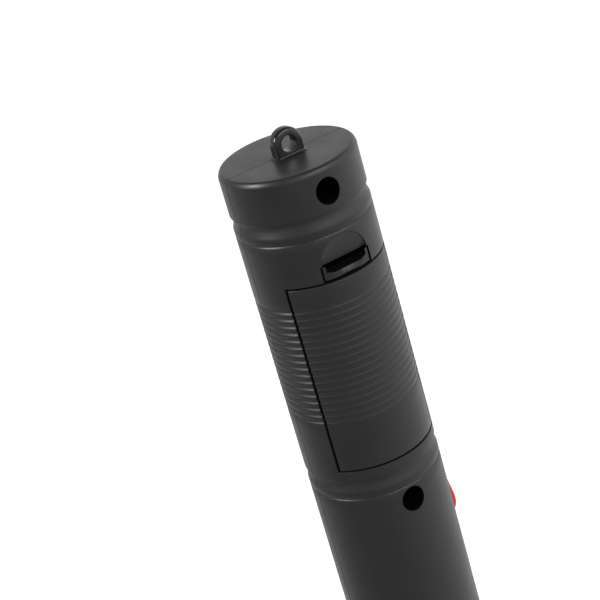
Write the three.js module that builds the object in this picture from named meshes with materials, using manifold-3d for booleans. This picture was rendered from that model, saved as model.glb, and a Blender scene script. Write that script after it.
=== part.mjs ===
// Non-contact voltage tester: a tubular hand-held probe in two half shells, with a lanyard eye on its
// flat end, a curved battery door with a finger latch, a red press button and a slim sensing nose.
// Millimetres, +Z up. The tester hangs by its eye: the origin is on the eye's bore axis, in the plane
// where the two shells meet, and the tube's axis is the Z axis. -Y is the battery-door side and +X is
// the button side. "Drop" is a distance below the flat end face.
import * as THREE from "three";
import { mergeVertices } from "three/addons/utils/BufferGeometryUtils.js";
import Module from "manifold-3d";

const wasm = await Module();
wasm.setup();

// ---- driving dimensions ----
const BATTERY = { width: 26.5, depth: 17.5, length: 46.4, terminal: 2.1, belowDoorTop: 1.7 };
const BATTERY_ROOM = 0.72; // from a battery corner to the tube's inner wall
const WALL = 2.4;
const SEAM_GAP = 0.3; // between the two shells
const GAP = 0.3; // between pieces that touch
const TRAVEL_GAP = 0.4; // beside a piece that moves
const PAST = 1; // how far a cutting block reaches past the face it cuts

const EYE = { outer: 4.3, bore: 2.2, thickness: 3.8, height: 3.6 };
const END_ROUND = 1.5; // rounding of the flat end's rim
const RING_GROOVE = { width: 4.0, depth: 0.8, lineDrop: 6.1, lineWidth: 0.6, lineDepth: 0.3 };
const FIRST_GROOVE_DROP = 12.3;
const SCREW_DROP = 6.9; // first shell screw, below the end face
const SCREW_AFTER_GROOVE = 10.7; // second shell screw, below the top of the second ring groove
const BODY_AFTER_SCREW = 58.3; // full-diameter tube below the second shell screw

const DOOR_TOP_DROP = 30.8;
const DOOR_SPARE_LENGTH = 10.9; // door length beyond the battery's own
const DOOR_HALF_ANGLE = 57.2; // degrees
const DOOR_END_GAP = 0.5;
const DOOR_SIDE_GAP = 0.5;
const GROOVE_AFTER_DOOR = 2.9;

const SCOOP = { radius: 7.1, shallow: 0.15, floor: 2.3, plate: 1.7 }; // the floor slopes to its slot
const LATCH = { width: 14.4, height: 2.9, sunk: 0.5, slot: 1.3, hook: 0.45, leaf: 1.2, leg: 8 };
const LATCH_FACE = { side: 0.7, top: 0.7, bottom: 0.5, lift: 0.9 }; // the tab's raised middle
const LATCH_LEAF_SET_BACK = 0.8; // from the hook's face to the leaf's
const LATCH_ROOM = 4; // behind the scoop's plate, for the leaf to bend into
const LATCH_FOOT = 1.4;

const SHELL_SCREW = { head: 2.8, headHeight: 2.2, shank: 1.45, length: 14, socket: 1.0 };
const SCREW_WELL = 3.35; // radius of the deep hole that a driver goes down
const FRONT_BOSS_STEP = 0.6; // how much slimmer the front shell's bosses are
const BELOW_BODY = 1; // from the end of the full diameter to the third boss
const BOSS_WALL = 1.5;
const SCREW_SEAT = 6; // from the seam to the seat under a screw's head

const BUTTON = { length: 12.4, width: 10, rise: 1.2, peak: 3.4, flange: 1.1, plate: 1.2 };
const BUTTON_AFTER_SCREW = 13.7; // from the second shell screw to the button's middle
const BUTTON_TRAVEL = 1.2;
const BUTTON_SET_BACK = 1.7; // from the tube's inner wall to the flange, for the lip beside it
const BUTTON_CHAMFER = 38; // degrees

const SHOULDER = 22; // length of the taper to the neck
const NECK = { wall: 3, length: 6, seat: 2 };
const NOSE = { top: 8.4, bottom: 6.6, wall: 1.6, length: 58.5, collar: 1.6, collarHeight: 2.4 };
const TIP = { length: 7.5, plug: 5, flat: 2.2, straight: 1.2 };

const BOARD = { side: 0.3, thickness: 1.6, rear: 1.5, spare: 1.2, cornerCut: 4.6 };
const BOARD_SCREW = { head: 1.9, headHeight: 1.2, shank: 0.75, length: 6, socket: 0.8 };
const BOARD_SCREW_INSET = { side: 3.7, end: 5.5 };
const BOARD_POST_WALL = 0.8;
const SOUND = { halfWidth: 5, halfHeight: 0.6, pitch: 3.2, afterBoard: 38 };
const WIRE = 0.75; // radius of a battery lead
const FINE_WIRE = 0.5; // radius of a lamp or sensor lead
const BULKHEAD = { thickness: 1.8, aboveDoor: 1, belowDoor: 3.2 };
const LEAD_WAY = { halfWidth: 9, halfDepth: 4, spare: 1 };
const LIP = { thickness: 1.2, reach: 2, fromEnd: 1 };

// ---- derived sizes ----
const INNER = Math.hypot(BATTERY.width / 2, BATTERY.depth / 2) + BATTERY_ROOM;
const OUTER = INNER + WALL;
const END_FACE_Z = -EYE.height;
const down = (drop) => END_FACE_Z - drop;
const DOOR_LENGTH = BATTERY.length + DOOR_SPARE_LENGTH;
const DOOR_BOTTOM_DROP = DOOR_TOP_DROP + DOOR_LENGTH;
const SECOND_GROOVE_DROP = DOOR_BOTTOM_DROP + GROOVE_AFTER_DOOR;
const SECOND_SCREW_DROP = SECOND_GROOVE_DROP + SCREW_AFTER_GROOVE;
const BODY_END_DROP = SECOND_SCREW_DROP + BODY_AFTER_SCREW;
const BOSS = SCREW_WELL + BOSS_WALL;
const THIRD_SCREW_DROP = BODY_END_DROP + BOSS + BELOW_BODY;
const SCREW_DROPS = [SCREW_DROP, SECOND_SCREW_DROP, THIRD_SCREW_DROP];
const NECK_BORE = NOSE.top + TRAVEL_GAP;
const NECK_OUTER = NECK_BORE + NECK.wall;
const NECK_TOP_DROP = BODY_END_DROP + SHOULDER;
const NECK_END_DROP = NECK_TOP_DROP + NECK.length;
const DOOR_HALF_WIDTH = OUTER * Math.sin(THREE.MathUtils.degToRad(DOOR_HALF_ANGLE));
const DOOR_LEDGE_Y = -OUTER * Math.cos(THREE.MathUtils.degToRad(DOOR_HALF_ANGLE));
const FLAT_FAR = 2 * OUTER; // reach of a cutting block past the tube
const SLOT_DROP = DOOR_TOP_DROP - LATCH.height - GAP - LATCH.slot; // lower edge of the scoop's floor
const BATTERY_TOP_DROP = DOOR_TOP_DROP + BATTERY.belowDoorTop;
const BATTERY_END_DROP = BATTERY_TOP_DROP + BATTERY.length;
const BOARD_TOP_DROP = SECOND_SCREW_DROP + BOSS + BOARD.spare;
const BOARD_END_DROP = THIRD_SCREW_DROP - BOSS - BOARD.spare;
const BOARD_FRONT = BOARD.rear + BOARD.thickness;

// ---- materials ----
const finish = (color, roughness, metalness = 0) =>
  new THREE.MeshStandardMaterial({ color, roughness, metalness });
const FINISH = {
  black: () => finish(0x1d1d1f, 0.45),
  red: () => finish(0xc8201c, 0.4),
  lens: () => finish(0xd8241c, 0.15),
  steel: () => finish(0x9a9ca0, 0.35, 1),
  brass: () => finish(0xc9a24a, 0.35, 1),
  board: () => finish(0x1f6b3a, 0.5),
  chip: () => finish(0x18181a, 0.55),
  foam: () => finish(0x3a3a3c, 0.95),
  can: () => finish(0x6d7076, 0.35, 1),
  redWire: () => finish(0xb32020, 0.5),
  blackWire: () => finish(0x101012, 0.5),
  blue: () => finish(0x2a4f9c, 0.45),
};

// ---- solids ----
// A closed three.js geometry as a solid that can be cut and joined.
function solid(geometry) {
  const bare = geometry.index ? geometry.toNonIndexed() : geometry.clone();
  bare.deleteAttribute("normal");
  bare.deleteAttribute("uv");
  const merged = mergeVertices(bare, 1e-4);
  const vertProperties = merged.attributes.position.array;
  const triVerts = new Uint32Array(merged.index.array);
  return new wasm.Manifold(new wasm.Mesh({ numProp: 3, vertProperties, triVerts }));
}

function block(x0, x1, y0, y1, z0, z1) {
  const geometry = new THREE.BoxGeometry(x1 - x0, y1 - y0, z1 - z0);
  geometry.translate((x0 + x1) / 2, (y0 + y1) / 2, (z0 + z1) / 2);
  return solid(geometry);
}

// A solid turned about the Z axis from [radius, z] points that run from the axis round to the axis.
function turned(points, segments = 48) {
  const profile = points.map(([radius, z]) => new THREE.Vector2(radius, z));
  const geometry = new THREE.LatheGeometry(profile, segments);
  geometry.rotateX(Math.PI / 2);
  return solid(geometry);
}

// A round bar between two points on a line parallel to the axis named.
function bar(axis, radius, from, to, place, segments = 24) {
  const geometry = new THREE.CylinderGeometry(radius, radius, to - from, segments);
  const middle = (from + to) / 2;
  if (axis === "x") {
    geometry.rotateZ(Math.PI / 2);
    geometry.translate(middle, place[0], place[1]);
  }
  if (axis === "y") geometry.translate(place[0], middle, place[1]);
  if (axis === "z") {
    geometry.rotateX(Math.PI / 2);
    geometry.translate(place[0], place[1], middle);
  }
  return solid(geometry);
}

// A flat outline of [x, z] points, given thickness from y0 to y1.
function plate(points, y0, y1) {
  const shape = new THREE.Shape(points.map(([x, z]) => new THREE.Vector2(x, z)));
  const geometry = new THREE.ExtrudeGeometry(shape, { depth: y1 - y0, bevelEnabled: false });
  geometry.rotateX(Math.PI / 2);
  geometry.translate(0, y1, 0);
  return solid(geometry);
}

// An insulated lead through the points given.
function wire(points, radius = WIRE, steps = 20) {
  const path = new THREE.CatmullRomCurve3(points.map((p) => new THREE.Vector3(...p)));
  const section = new THREE.Shape();
  section.absarc(0, 0, radius, 0, 2 * Math.PI, false);
  const options = { steps, extrudePath: path, curveSegments: 4, bevelEnabled: false };
  return solid(new THREE.ExtrudeGeometry(section, options));
}

const tester = new THREE.Group();
function add(name, made, material) {
  const { vertProperties, triVerts } = made.getMesh();
  const geometry = new THREE.BufferGeometry();
  geometry.setAttribute("position", new THREE.BufferAttribute(new Float32Array(vertProperties), 3));
  geometry.setIndex(new THREE.BufferAttribute(new Uint32Array(triVerts), 1));
  geometry.computeVertexNormals();
  const mesh = new THREE.Mesh(geometry, material);
  mesh.name = name;
  tester.add(mesh);
}

// ---- the tube that both shells are cut from ----
function arc(radius, z, round, from, to, steps) {
  const points = [];
  for (let i = 0; i <= steps; i++) {
    const angle = THREE.MathUtils.degToRad(from + ((to - from) * i) / steps);
    points.push([radius + round * Math.cos(angle), z + round * Math.sin(angle)]);
  }
  return points;
}

// A shallow round groove and, below it, a fine line round the tube.
function ringGroove(drop) {
  const points = [[OUTER, down(drop)]];
  for (const share of [0.2, 0.5, 0.8]) {
    const depth = RING_GROOVE.depth * Math.sin(Math.PI * share);
    points.push([OUTER - depth, down(drop + RING_GROOVE.width * share)]);
  }
  points.push([OUTER, down(drop + RING_GROOVE.width)]);
  const line = drop + RING_GROOVE.lineDrop;
  points.push([OUTER, down(line - RING_GROOVE.lineWidth / 2)]);
  points.push([OUTER - RING_GROOVE.lineDepth, down(line)]);
  points.push([OUTER, down(line + RING_GROOVE.lineWidth / 2)]);
  return points;
}

// The shoulder's outline is half a cosine wave from the tube to the neck.
function shoulder(wide, narrow, top, bottom) {
  const points = [];
  const steps = 7;
  for (let i = 0; i <= steps; i++) {
    const share = i / steps;
    const radius = narrow + ((wide - narrow) * (1 + Math.cos(Math.PI * share))) / 2;
    points.push([radius, down(top + (bottom - top) * share)]);
  }
  return points;
}

const outside = turned([
  [0, down(NECK_END_DROP)],
  [NECK_OUTER, down(NECK_END_DROP)],
  ...shoulder(OUTER, NECK_OUTER, BODY_END_DROP, NECK_TOP_DROP).reverse(),
  ...ringGroove(SECOND_GROOVE_DROP).reverse(),
  ...ringGroove(FIRST_GROOVE_DROP).reverse(),
  ...arc(OUTER - END_ROUND, down(END_ROUND), END_ROUND, 0, 90, 4),
  [0, END_FACE_Z],
]);
const COLLAR_ROOM = NOSE.top + NOSE.collar + TRAVEL_GAP;
const COLLAR_DROP = NECK_TOP_DROP - NECK.seat;
const inside = turned([
  [0, down(COLLAR_DROP)],
  [COLLAR_ROOM, down(COLLAR_DROP)],
  [COLLAR_ROOM, down(COLLAR_DROP - NOSE.collarHeight - GAP)],
  ...shoulder(INNER, NECK_OUTER, BODY_END_DROP, COLLAR_DROP - NOSE.collarHeight - NECK.seat).reverse(),
  [INNER, down(WALL)],
  [0, down(WALL)],
]);
const neckBore = bar("z", NECK_BORE, down(NECK_END_DROP + PAST), down(COLLAR_DROP - PAST), [0, 0], 48);
const tube = outside.subtract(inside).subtract(neckBore);
const Z_LOW = down(NECK_END_DROP + PAST);
const Z_HIGH = EYE.outer + PAST;
const rearHalf = block(-FLAT_FAR, FLAT_FAR, -FLAT_FAR, -SEAM_GAP / 2, Z_LOW, Z_HIGH);
const frontHalf = block(-FLAT_FAR, FLAT_FAR, SEAM_GAP / 2, FLAT_FAR, Z_LOW, Z_HIGH);

// The locating lip is on the front shell and slips inside the rear one, and stops at the button.
const BUTTON_Z = down(SECOND_SCREW_DROP + BUTTON_AFTER_SCREW);
const BUTTON_ROOM = BUTTON.length / 2 + BUTTON.flange + PAST;
const LIP_OUTER = Math.sqrt(INNER ** 2 - LIP.reach ** 2) - GAP;
const BOARD_HALF_WIDTH = LIP_OUTER - LIP.thickness - GAP - BOARD.side;
const LIP_TOP = down(WALL + LIP.fromEnd);
const LIP_BOTTOM = down(BODY_END_DROP - 2 * LIP.fromEnd);
const LIP_RUNS = [
  { side: -1, top: LIP_TOP, bottom: LIP_BOTTOM },
  { side: 1, top: LIP_TOP, bottom: BUTTON_Z + BUTTON_ROOM },
  { side: 1, top: BUTTON_Z - BUTTON_ROOM, bottom: LIP_BOTTOM },
];
function lip(grow) {
  return LIP_RUNS.map(({ side, top, bottom }) => {
    const near = side * (LIP_OUTER - LIP.thickness - grow);
    const far = side * (LIP_OUTER + grow);
    const low = Math.min(near, far);
    const high = Math.max(near, far);
    return block(low, high, -LIP.reach - grow, LIP.reach, bottom - grow, top + grow);
  }).reduce((all, one) => all.add(one));
}
// The root that joins the lip to the front shell's wall.
function lipRoot() {
  return LIP_RUNS.map(({ side, top, bottom }) => {
    const near = side * (LIP_OUTER - LIP.thickness);
    const far = side * (INNER + WALL / 2);
    return block(Math.min(near, far), Math.max(near, far), SEAM_GAP / 2, LIP.reach, bottom, top);
  }).reduce((all, one) => all.add(one));
}

// ---- shells ----
const UPPER_BULKHEAD = DOOR_TOP_DROP - BULKHEAD.aboveDoor;
const LOWER_BULKHEAD = DOOR_BOTTOM_DROP + BULKHEAD.belowDoor;
function bulkheads() {
  const discs = [UPPER_BULKHEAD, LOWER_BULKHEAD].map((drop) =>
    bar("z", INNER + WALL / 2, down(drop + BULKHEAD.thickness), down(drop), [0, 0], 48),
  );
  const { halfWidth, halfDepth, spare } = LEAD_WAY;
  const low = down(LOWER_BULKHEAD + BULKHEAD.thickness + spare);
  const high = down(LOWER_BULKHEAD - spare);
  return discs[0].add(
    discs[1].subtract(block(-halfWidth, halfWidth, -halfDepth, halfDepth, low, high)),
  );
}

function eye() {
  const root = END_FACE_Z - WALL / 2;
  const straight = block(-EYE.outer, EYE.outer, -EYE.thickness, -SEAM_GAP / 2, root, 0);
  const round = bar("y", EYE.outer, -EYE.thickness, -SEAM_GAP / 2, [0, 0], 32);
  const bore = bar("y", EYE.bore, -EYE.thickness - PAST, PAST, [0, 0], 32);
  return straight.add(round).subtract(bore);
}

const slot = (grow) =>
  block(
    INNER - 2 * BUTTON_SET_BACK,
    OUTER + 2 * BUTTON.rise,
    -BUTTON.width / 2 - grow,
    BUTTON.width / 2 + grow,
    BUTTON_Z - BUTTON.length / 2 - grow,
    BUTTON_Z + BUTTON.length / 2 + grow,
  );

// The half-round outline of the thumb scoop above the latch, open at its lower edge.
function scoop(y0, y1, grow) {
  const rim = new THREE.Shape();
  rim.absarc(0, down(SLOT_DROP), SCOOP.radius + grow, 0, Math.PI, false);
  const geometry = new THREE.ExtrudeGeometry(rim, {
    depth: y1 - y0,
    curveSegments: 20,
    bevelEnabled: false,
  });
  geometry.rotateX(Math.PI / 2);
  geometry.translate(0, y1, 0);
  return solid(geometry);
}
const SCOOP_FLOOR_Y = -OUTER + SCOOP.floor;
// What the scoop cuts away: shallow at the arc's top, full depth at the slot.
function scoopHollow() {
  const front = new THREE.BoxGeometry(FLAT_FAR, FLAT_FAR, FLAT_FAR);
  front.translate(0, -FLAT_FAR / 2, 0);
  front.rotateX(Math.atan2(SCOOP.floor - SCOOP.shallow, SCOOP.radius));
  front.translate(0, SCOOP_FLOOR_Y, down(SLOT_DROP));
  return scoop(-OUTER - PAST, SCOOP_FLOOR_Y, 0).intersect(solid(front));
}

function rearShell() {
  let shell = tube.intersect(rearHalf);
  shell = shell.add(bulkheads().intersect(rearHalf));
  for (const drop of SCREW_DROPS) {
    const boss = bar("y", BOSS, -OUTER, -SEAM_GAP / 2, [0, down(drop)]);
    shell = shell.add(boss.intersect(outside));
  }
  // The scoop's floor is backed behind the wall that it cuts into.
  const backing = scoop(SCOOP_FLOOR_Y, SCOOP_FLOOR_Y + SCOOP.plate, WALL);
  shell = shell.add(backing.intersect(outside));
  shell = shell.subtract(scoopHollow());
  // Door opening, with a straight way in for the battery and a pocket for the latch.
  const top = down(DOOR_TOP_DROP);
  const bottom = down(DOOR_BOTTOM_DROP);
  const passage = BATTERY.width / 2 + TRAVEL_GAP;
  const latchHalf = LATCH.width / 2 + TRAVEL_GAP;
  const pocketY = SCOOP_FLOOR_Y + SCOOP.plate + LATCH_ROOM;
  shell = shell.subtract(
    block(-DOOR_HALF_WIDTH, DOOR_HALF_WIDTH, -FLAT_FAR, DOOR_LEDGE_Y, bottom, top),
  );
  shell = shell.subtract(block(-passage, passage, -INNER, -SEAM_GAP, bottom, top));
  shell = shell.subtract(
    block(-latchHalf, latchHalf, -FLAT_FAR, pocketY, top - PAST, down(SLOT_DROP)),
  );
  for (const drop of SCREW_DROPS) {
    const place = [0, down(drop)];
    shell = shell.subtract(bar("y", SCREW_WELL, -OUTER - PAST, -SCREW_SEAT, place));
    shell = shell.subtract(bar("y", SHELL_SCREW.shank + GAP, -SCREW_SEAT - PAST, PAST, place));
  }
  shell = shell.subtract(lip(GAP));
  shell = shell.subtract(slot(GAP));
  return shell.add(eye());
}

const SOUND_DROP = BOARD_TOP_DROP + SOUND.afterBoard;
function frontShell() {
  let shell = tube.intersect(frontHalf);
  shell = shell.add(bulkheads().intersect(frontHalf));
  for (const drop of SCREW_DROPS) {
    const boss = bar("y", BOSS - FRONT_BOSS_STEP, SEAM_GAP / 2, OUTER, [0, down(drop)]);
    const pilot = bar("y", SHELL_SCREW.shank + GAP, -PAST, SHELL_SCREW.length, [0, down(drop)]);
    shell = shell.add(boss.intersect(outside)).subtract(pilot);
  }
  for (const [x, z] of boardScrewPlaces()) {
    const post = bar("y", BOARD_SCREW.head + BOARD_POST_WALL, BOARD_FRONT + GAP, OUTER, [x, z]);
    const pilot = bar("y", BOARD_SCREW.shank + GAP, 0, BOARD_FRONT + BOARD_SCREW.length, [x, z]);
    shell = shell.add(post.intersect(outside)).subtract(pilot);
  }
  for (const row of [-1, 0, 1]) {
    const z = down(SOUND_DROP) + SOUND.pitch * row;
    const { halfWidth, halfHeight } = SOUND;
    shell = shell.subtract(
      block(-halfWidth, halfWidth, INNER - WALL, OUTER + PAST, z - halfHeight, z + halfHeight),
    );
  }
  return shell.add(lipRoot()).add(lip(0)).subtract(slot(GAP));
}

function boardScrewPlaces() {
  const x = BOARD_HALF_WIDTH - BOARD_SCREW_INSET.side;
  return [
    [-x, down(BOARD_TOP_DROP + BOARD_SCREW_INSET.end)],
    [x, down(BOARD_END_DROP - BOARD_SCREW_INSET.end)],
  ];
}

add("rear_shell", rearShell(), FINISH.black());
add("front_shell", frontShell(), FINISH.black());

// ---- shell screws: pan head, hex socket, no thread ----
function screw(place, seat, { head, headHeight, shank, length, socket }) {
  const top = seat - GAP;
  let made = bar("y", head, top - headHeight, top, place);
  made = made.add(bar("y", shank, top - headHeight / 2, top + length, place, 16));
  return made.subtract(bar("y", socket, top - headHeight - PAST, top - headHeight / 2, place, 6));
}
SCREW_DROPS.forEach((drop, index) => {
  add(`shell_screw_${index + 1}`, screw([0, down(drop)], -SCREW_SEAT, SHELL_SCREW), FINISH.steel());
});

// ---- battery door, its latch and its pad ----
const DOOR_TOP_Z = down(DOOR_TOP_DROP + DOOR_END_GAP);
const DOOR_BOTTOM_Z = down(DOOR_BOTTOM_DROP - DOOR_END_GAP);
const PAD = { thickness: 2.6, halfWidth: 10, end: 12 };
const RAIL = { x: 8, halfWidth: 0.8, fromBottom: 8, fromTop: 12 };
const TONGUE = { halfWidth: 4, thickness: 1.6, reach: 2.3, root: 4, rootEdge: 1 };
const PAD_REAR = -BATTERY.depth / 2 - GAP - PAD.thickness;
function batteryDoor() {
  const reach = block(
    -DOOR_HALF_WIDTH,
    DOOR_HALF_WIDTH,
    -FLAT_FAR,
    DOOR_LEDGE_Y - DOOR_SIDE_GAP,
    DOOR_BOTTOM_Z,
    DOOR_TOP_Z,
  );
  let door = tube.intersect(reach);
  // Two rails that back the pad, and a tongue that hooks under the shell at the lower end.
  const railLow = DOOR_BOTTOM_Z + RAIL.fromBottom;
  const railHigh = DOOR_TOP_Z - RAIL.fromTop;
  for (const x of [-RAIL.x, RAIL.x]) {
    const { halfWidth } = RAIL;
    const rail = block(x - halfWidth, x + halfWidth, -OUTER, PAD_REAR - GAP, railLow, railHigh);
    door = door.add(rail.intersect(outside));
  }
  const { halfWidth, thickness, reach: tongueReach, root, rootEdge } = TONGUE;
  const y0 = -Math.sqrt(INNER ** 2 - halfWidth ** 2) + GAP;
  const y1 = y0 + thickness;
  const high = DOOR_BOTTOM_Z + root;
  const tongue = block(-halfWidth, halfWidth, y0, y1, DOOR_BOTTOM_Z - tongueReach, high);
  const rootBlock = block(
    -halfWidth,
    halfWidth,
    -INNER - WALL / 4,
    y1,
    DOOR_BOTTOM_Z + rootEdge,
    high,
  );
  return door.add(tongue).add(rootBlock);
}
add("battery_door", batteryDoor(), FINISH.black());

// The latch is the free leg of the door's bent spring tongue: a finger tab, a hook that catches
// behind the scoop's floor, and a thin leaf that runs down inside the door.
function doorLatch() {
  const half = LATCH.width / 2;
  const topZ = down(SLOT_DROP + LATCH.slot);
  const bottomZ = topZ - LATCH.height;
  const { side, top, bottom, lift } = LATCH_FACE;
  const faceY = -OUTER + LATCH.sunk;
  const hookY = SCOOP_FLOOR_Y + SCOOP.plate + GAP;
  const leafY = hookY + LATCH_LEAF_SET_BACK;
  const backY = leafY + LATCH.leaf;
  let latch = block(-half, half, faceY + lift, backY, bottomZ, topZ);
  latch = latch.add(
    block(side - half, half - side, faceY, faceY + 2 * lift, bottomZ + bottom, topZ - top),
  );
  const hookTop = down(SLOT_DROP) + LATCH.hook;
  const hookHalf = half - 2 * LATCH.leaf;
  latch = latch.add(block(-hookHalf, hookHalf, hookY, backY, topZ - LATCH.hook, hookTop));
  const leafEnd = bottomZ - LATCH.leg;
  const leafHalf = half - LATCH.leaf;
  latch = latch.add(block(-leafHalf, leafHalf, leafY, backY, leafEnd, bottomZ + LATCH.leaf));
  const footY = -Math.sqrt(INNER ** 2 - leafHalf ** 2) + GAP;
  return latch.add(block(-leafHalf, leafHalf, footY, backY, leafEnd, leafEnd + LATCH_FOOT));
}
add("door_latch", doorLatch(), FINISH.black());

const PAD_TOP_Z = DOOR_TOP_Z - PAD.end;
const PAD_BOTTOM_Z = DOOR_BOTTOM_Z + PAD.end;
add(
  "battery_pad",
  block(-PAD.halfWidth, PAD.halfWidth, PAD_REAR, PAD_REAR + PAD.thickness, PAD_BOTTOM_Z, PAD_TOP_Z),
  FINISH.foam(),
);

// ---- battery, terminals down, and its snap connector ----
const BATTERY_TOP_Z = down(BATTERY_TOP_DROP);
const BATTERY_END_Z = down(BATTERY_END_DROP);
const TERMINAL_X = 6.35;
const STUD = { radius: 2.8, sides: 20 };
const SOCKET = { radius: 3.9, sides: 6 };
add(
  "battery",
  block(
    -BATTERY.width / 2,
    BATTERY.width / 2,
    -BATTERY.depth / 2,
    BATTERY.depth / 2,
    BATTERY_END_Z,
    BATTERY_TOP_Z,
  ),
  FINISH.can(),
);
const TERMINAL_Z = BATTERY_END_Z - GAP - BATTERY.terminal;
[
  ["battery_stud", -TERMINAL_X, STUD],
  ["battery_socket", TERMINAL_X, SOCKET],
].forEach(([name, x, { radius, sides }]) => {
  const terminal = bar("z", radius, TERMINAL_Z, BATTERY_END_Z - GAP, [x, 0], sides);
  add(name, terminal, FINISH.steel());
});
const SNAP = { side: 0.65, halfDepth: 6, thickness: 3.2 };
const SNAP_HALF_WIDTH = BATTERY.width / 2 - SNAP.side;
const SNAP_TOP_Z = TERMINAL_Z - GAP;
const SNAP_END_Z = SNAP_TOP_Z - SNAP.thickness;
add(
  "snap_connector",
  block(-SNAP_HALF_WIDTH, SNAP_HALF_WIDTH, -SNAP.halfDepth, SNAP.halfDepth, SNAP_END_Z, SNAP_TOP_Z),
  FINISH.blackWire(),
);

// ---- circuit board ----
const BOARD_TOP_Z = down(BOARD_TOP_DROP);
const BOARD_END_Z = down(BOARD_END_DROP);
function circuitBoard() {
  const half = BOARD_HALF_WIDTH;
  let board = block(-half, half, BOARD.rear, BOARD_FRONT, BOARD_END_Z, BOARD_TOP_Z);
  // The corner beside the button is cut away.
  board = board.subtract(
    block(
      INNER - BOARD.cornerCut,
      FLAT_FAR,
      0,
      OUTER,
      BUTTON_Z - BUTTON_ROOM,
      BOARD_TOP_Z + PAST,
    ),
  );
  for (const place of boardScrewPlaces()) {
    board = board.subtract(bar("y", BOARD_SCREW.shank + GAP, 0, OUTER, place, 16));
  }
  return board;
}
add("circuit_board", circuitBoard(), FINISH.board());
boardScrewPlaces().forEach((place, index) => {
  add(`board_screw_${index + 1}`, screw(place, BOARD.rear, BOARD_SCREW), FINISH.steel());
});

// ---- press button and its switch ----
const BUTTON_FACE = OUTER + 0.1;
const FLANGE_OUTER = INNER - BUTTON_SET_BACK;
const FLANGE_INNER = FLANGE_OUTER - BUTTON.plate;
const SWITCH = { depth: 6, width: 4, length: 6, y: -0.8, plunger: 1.1, stroke: 2.4, away: 2.7 };
const SWITCH_FACE = FLANGE_INNER - SWITCH.away;
function pressButton() {
  const half = BUTTON.length / 2;
  const top = BUTTON_Z + half;
  const bottom = BUTTON_Z - half;
  const ramp = [];
  const steps = 5;
  const peakZ = bottom + BUTTON.peak;
  for (let i = 0; i <= steps; i++) {
    const share = i / steps;
    const z = top + (peakZ - top) * share;
    ramp.push([BUTTON_FACE + BUTTON.rise * Math.sin((Math.PI / 2) * share), z]);
  }
  const crown = [
    [FLANGE_OUTER, top],
    ...ramp,
    [BUTTON_FACE + BUTTON.rise * 0.9, bottom + BUTTON.peak * 0.3],
    [BUTTON_FACE + BUTTON.rise * 0.55, bottom],
    [FLANGE_OUTER, bottom],
  ];
  // The crown narrows towards its top, so it is cut by two slanted blocks.
  let button = plate(crown, -BUTTON.width / 2, BUTTON.width / 2);
  for (const side of [-1, 1]) {
    const size = BUTTON.width * 0.6;
    const bevel = new THREE.BoxGeometry(size, size, 2 * BUTTON.length);
    bevel.translate(0, (side * size) / 2, 0);
    bevel.rotateZ(THREE.MathUtils.degToRad(BUTTON_CHAMFER) * side);
    bevel.translate(BUTTON_FACE, (side * BUTTON.width) / 2, BUTTON_Z);
    button = button.subtract(solid(bevel));
  }
  const grow = BUTTON.flange;
  const wide = BUTTON.width / 2 + grow;
  return button.add(
    block(FLANGE_INNER, FLANGE_OUTER, -wide, wide, bottom - grow, top + grow),
  );
}
add("press_button", pressButton(), FINISH.red());

function switchBody() {
  const halfLength = SWITCH.length / 2;
  const low = BUTTON_Z - halfLength;
  const high = BUTTON_Z + halfLength;
  const rear = BOARD.rear - GAP - SWITCH.width;
  const body = block(SWITCH_FACE - SWITCH.depth, SWITCH_FACE, rear, BOARD.rear - GAP, low, high);
  const bore = bar(
    "x",
    SWITCH.plunger + GAP,
    SWITCH_FACE - SWITCH.stroke - BUTTON_TRAVEL - GAP,
    SWITCH_FACE + PAST,
    [SWITCH.y, BUTTON_Z],
    16,
  );
  return body.subtract(bore);
}
add("switch_body", switchBody(), FINISH.chip());
add(
  "switch_plunger",
  bar("x", SWITCH.plunger, SWITCH_FACE - SWITCH.stroke, FLANGE_INNER - GAP, [SWITCH.y, BUTTON_Z], 16),
  FINISH.steel(),
);

// ---- parts on the board ----
const rearFace = BOARD.rear - GAP;
const boardZ = (drop) => BOARD_TOP_Z - drop;
const CHIP = { halfWidth: 5, height: 3.3, from: 23, to: 30 };
const CAPACITOR = { radius: 2.5, x: -9.6, from: 21, to: 32 };
const TRIMMER = { from: 27.6, size: 6.4, height: 4, x: 9.2 };
const RESISTOR = { radius: 0.9, from: 36, to: 42, pitch: 4.5 };
add(
  "detector_chip",
  block(
    -CHIP.halfWidth,
    CHIP.halfWidth,
    rearFace - CHIP.height,
    rearFace,
    boardZ(CHIP.to),
    boardZ(CHIP.from),
  ),
  FINISH.chip(),
);
const capacitorPlace = [CAPACITOR.x, rearFace - CAPACITOR.radius];
add(
  "capacitor",
  bar("z", CAPACITOR.radius, boardZ(CAPACITOR.to), boardZ(CAPACITOR.from), capacitorPlace, 16),
  FINISH.blue(),
);
add(
  "trimmer",
  block(
    TRIMMER.x - TRIMMER.size / 2,
    TRIMMER.x + TRIMMER.size / 2,
    rearFace - TRIMMER.height,
    rearFace,
    boardZ(TRIMMER.from + TRIMMER.size),
    boardZ(TRIMMER.from),
  ),
  FINISH.blue(),
);
for (const index of [0, 1, 2]) {
  const place = [RESISTOR.pitch * (index - 1), rearFace - RESISTOR.radius];
  const resistor = bar("z", RESISTOR.radius, boardZ(RESISTOR.to), boardZ(RESISTOR.from), place, 12);
  add(`resistor_${index + 1}`, resistor, FINISH.redWire());
}
const BUZZER = { radius: 7, height: 6.2 };
add(
  "buzzer",
  bar("y", BUZZER.radius, BOARD_FRONT + GAP, BOARD_FRONT + GAP + BUZZER.height, [
    0,
    down(SOUND_DROP),
  ]),
  FINISH.chip(),
);

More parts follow.
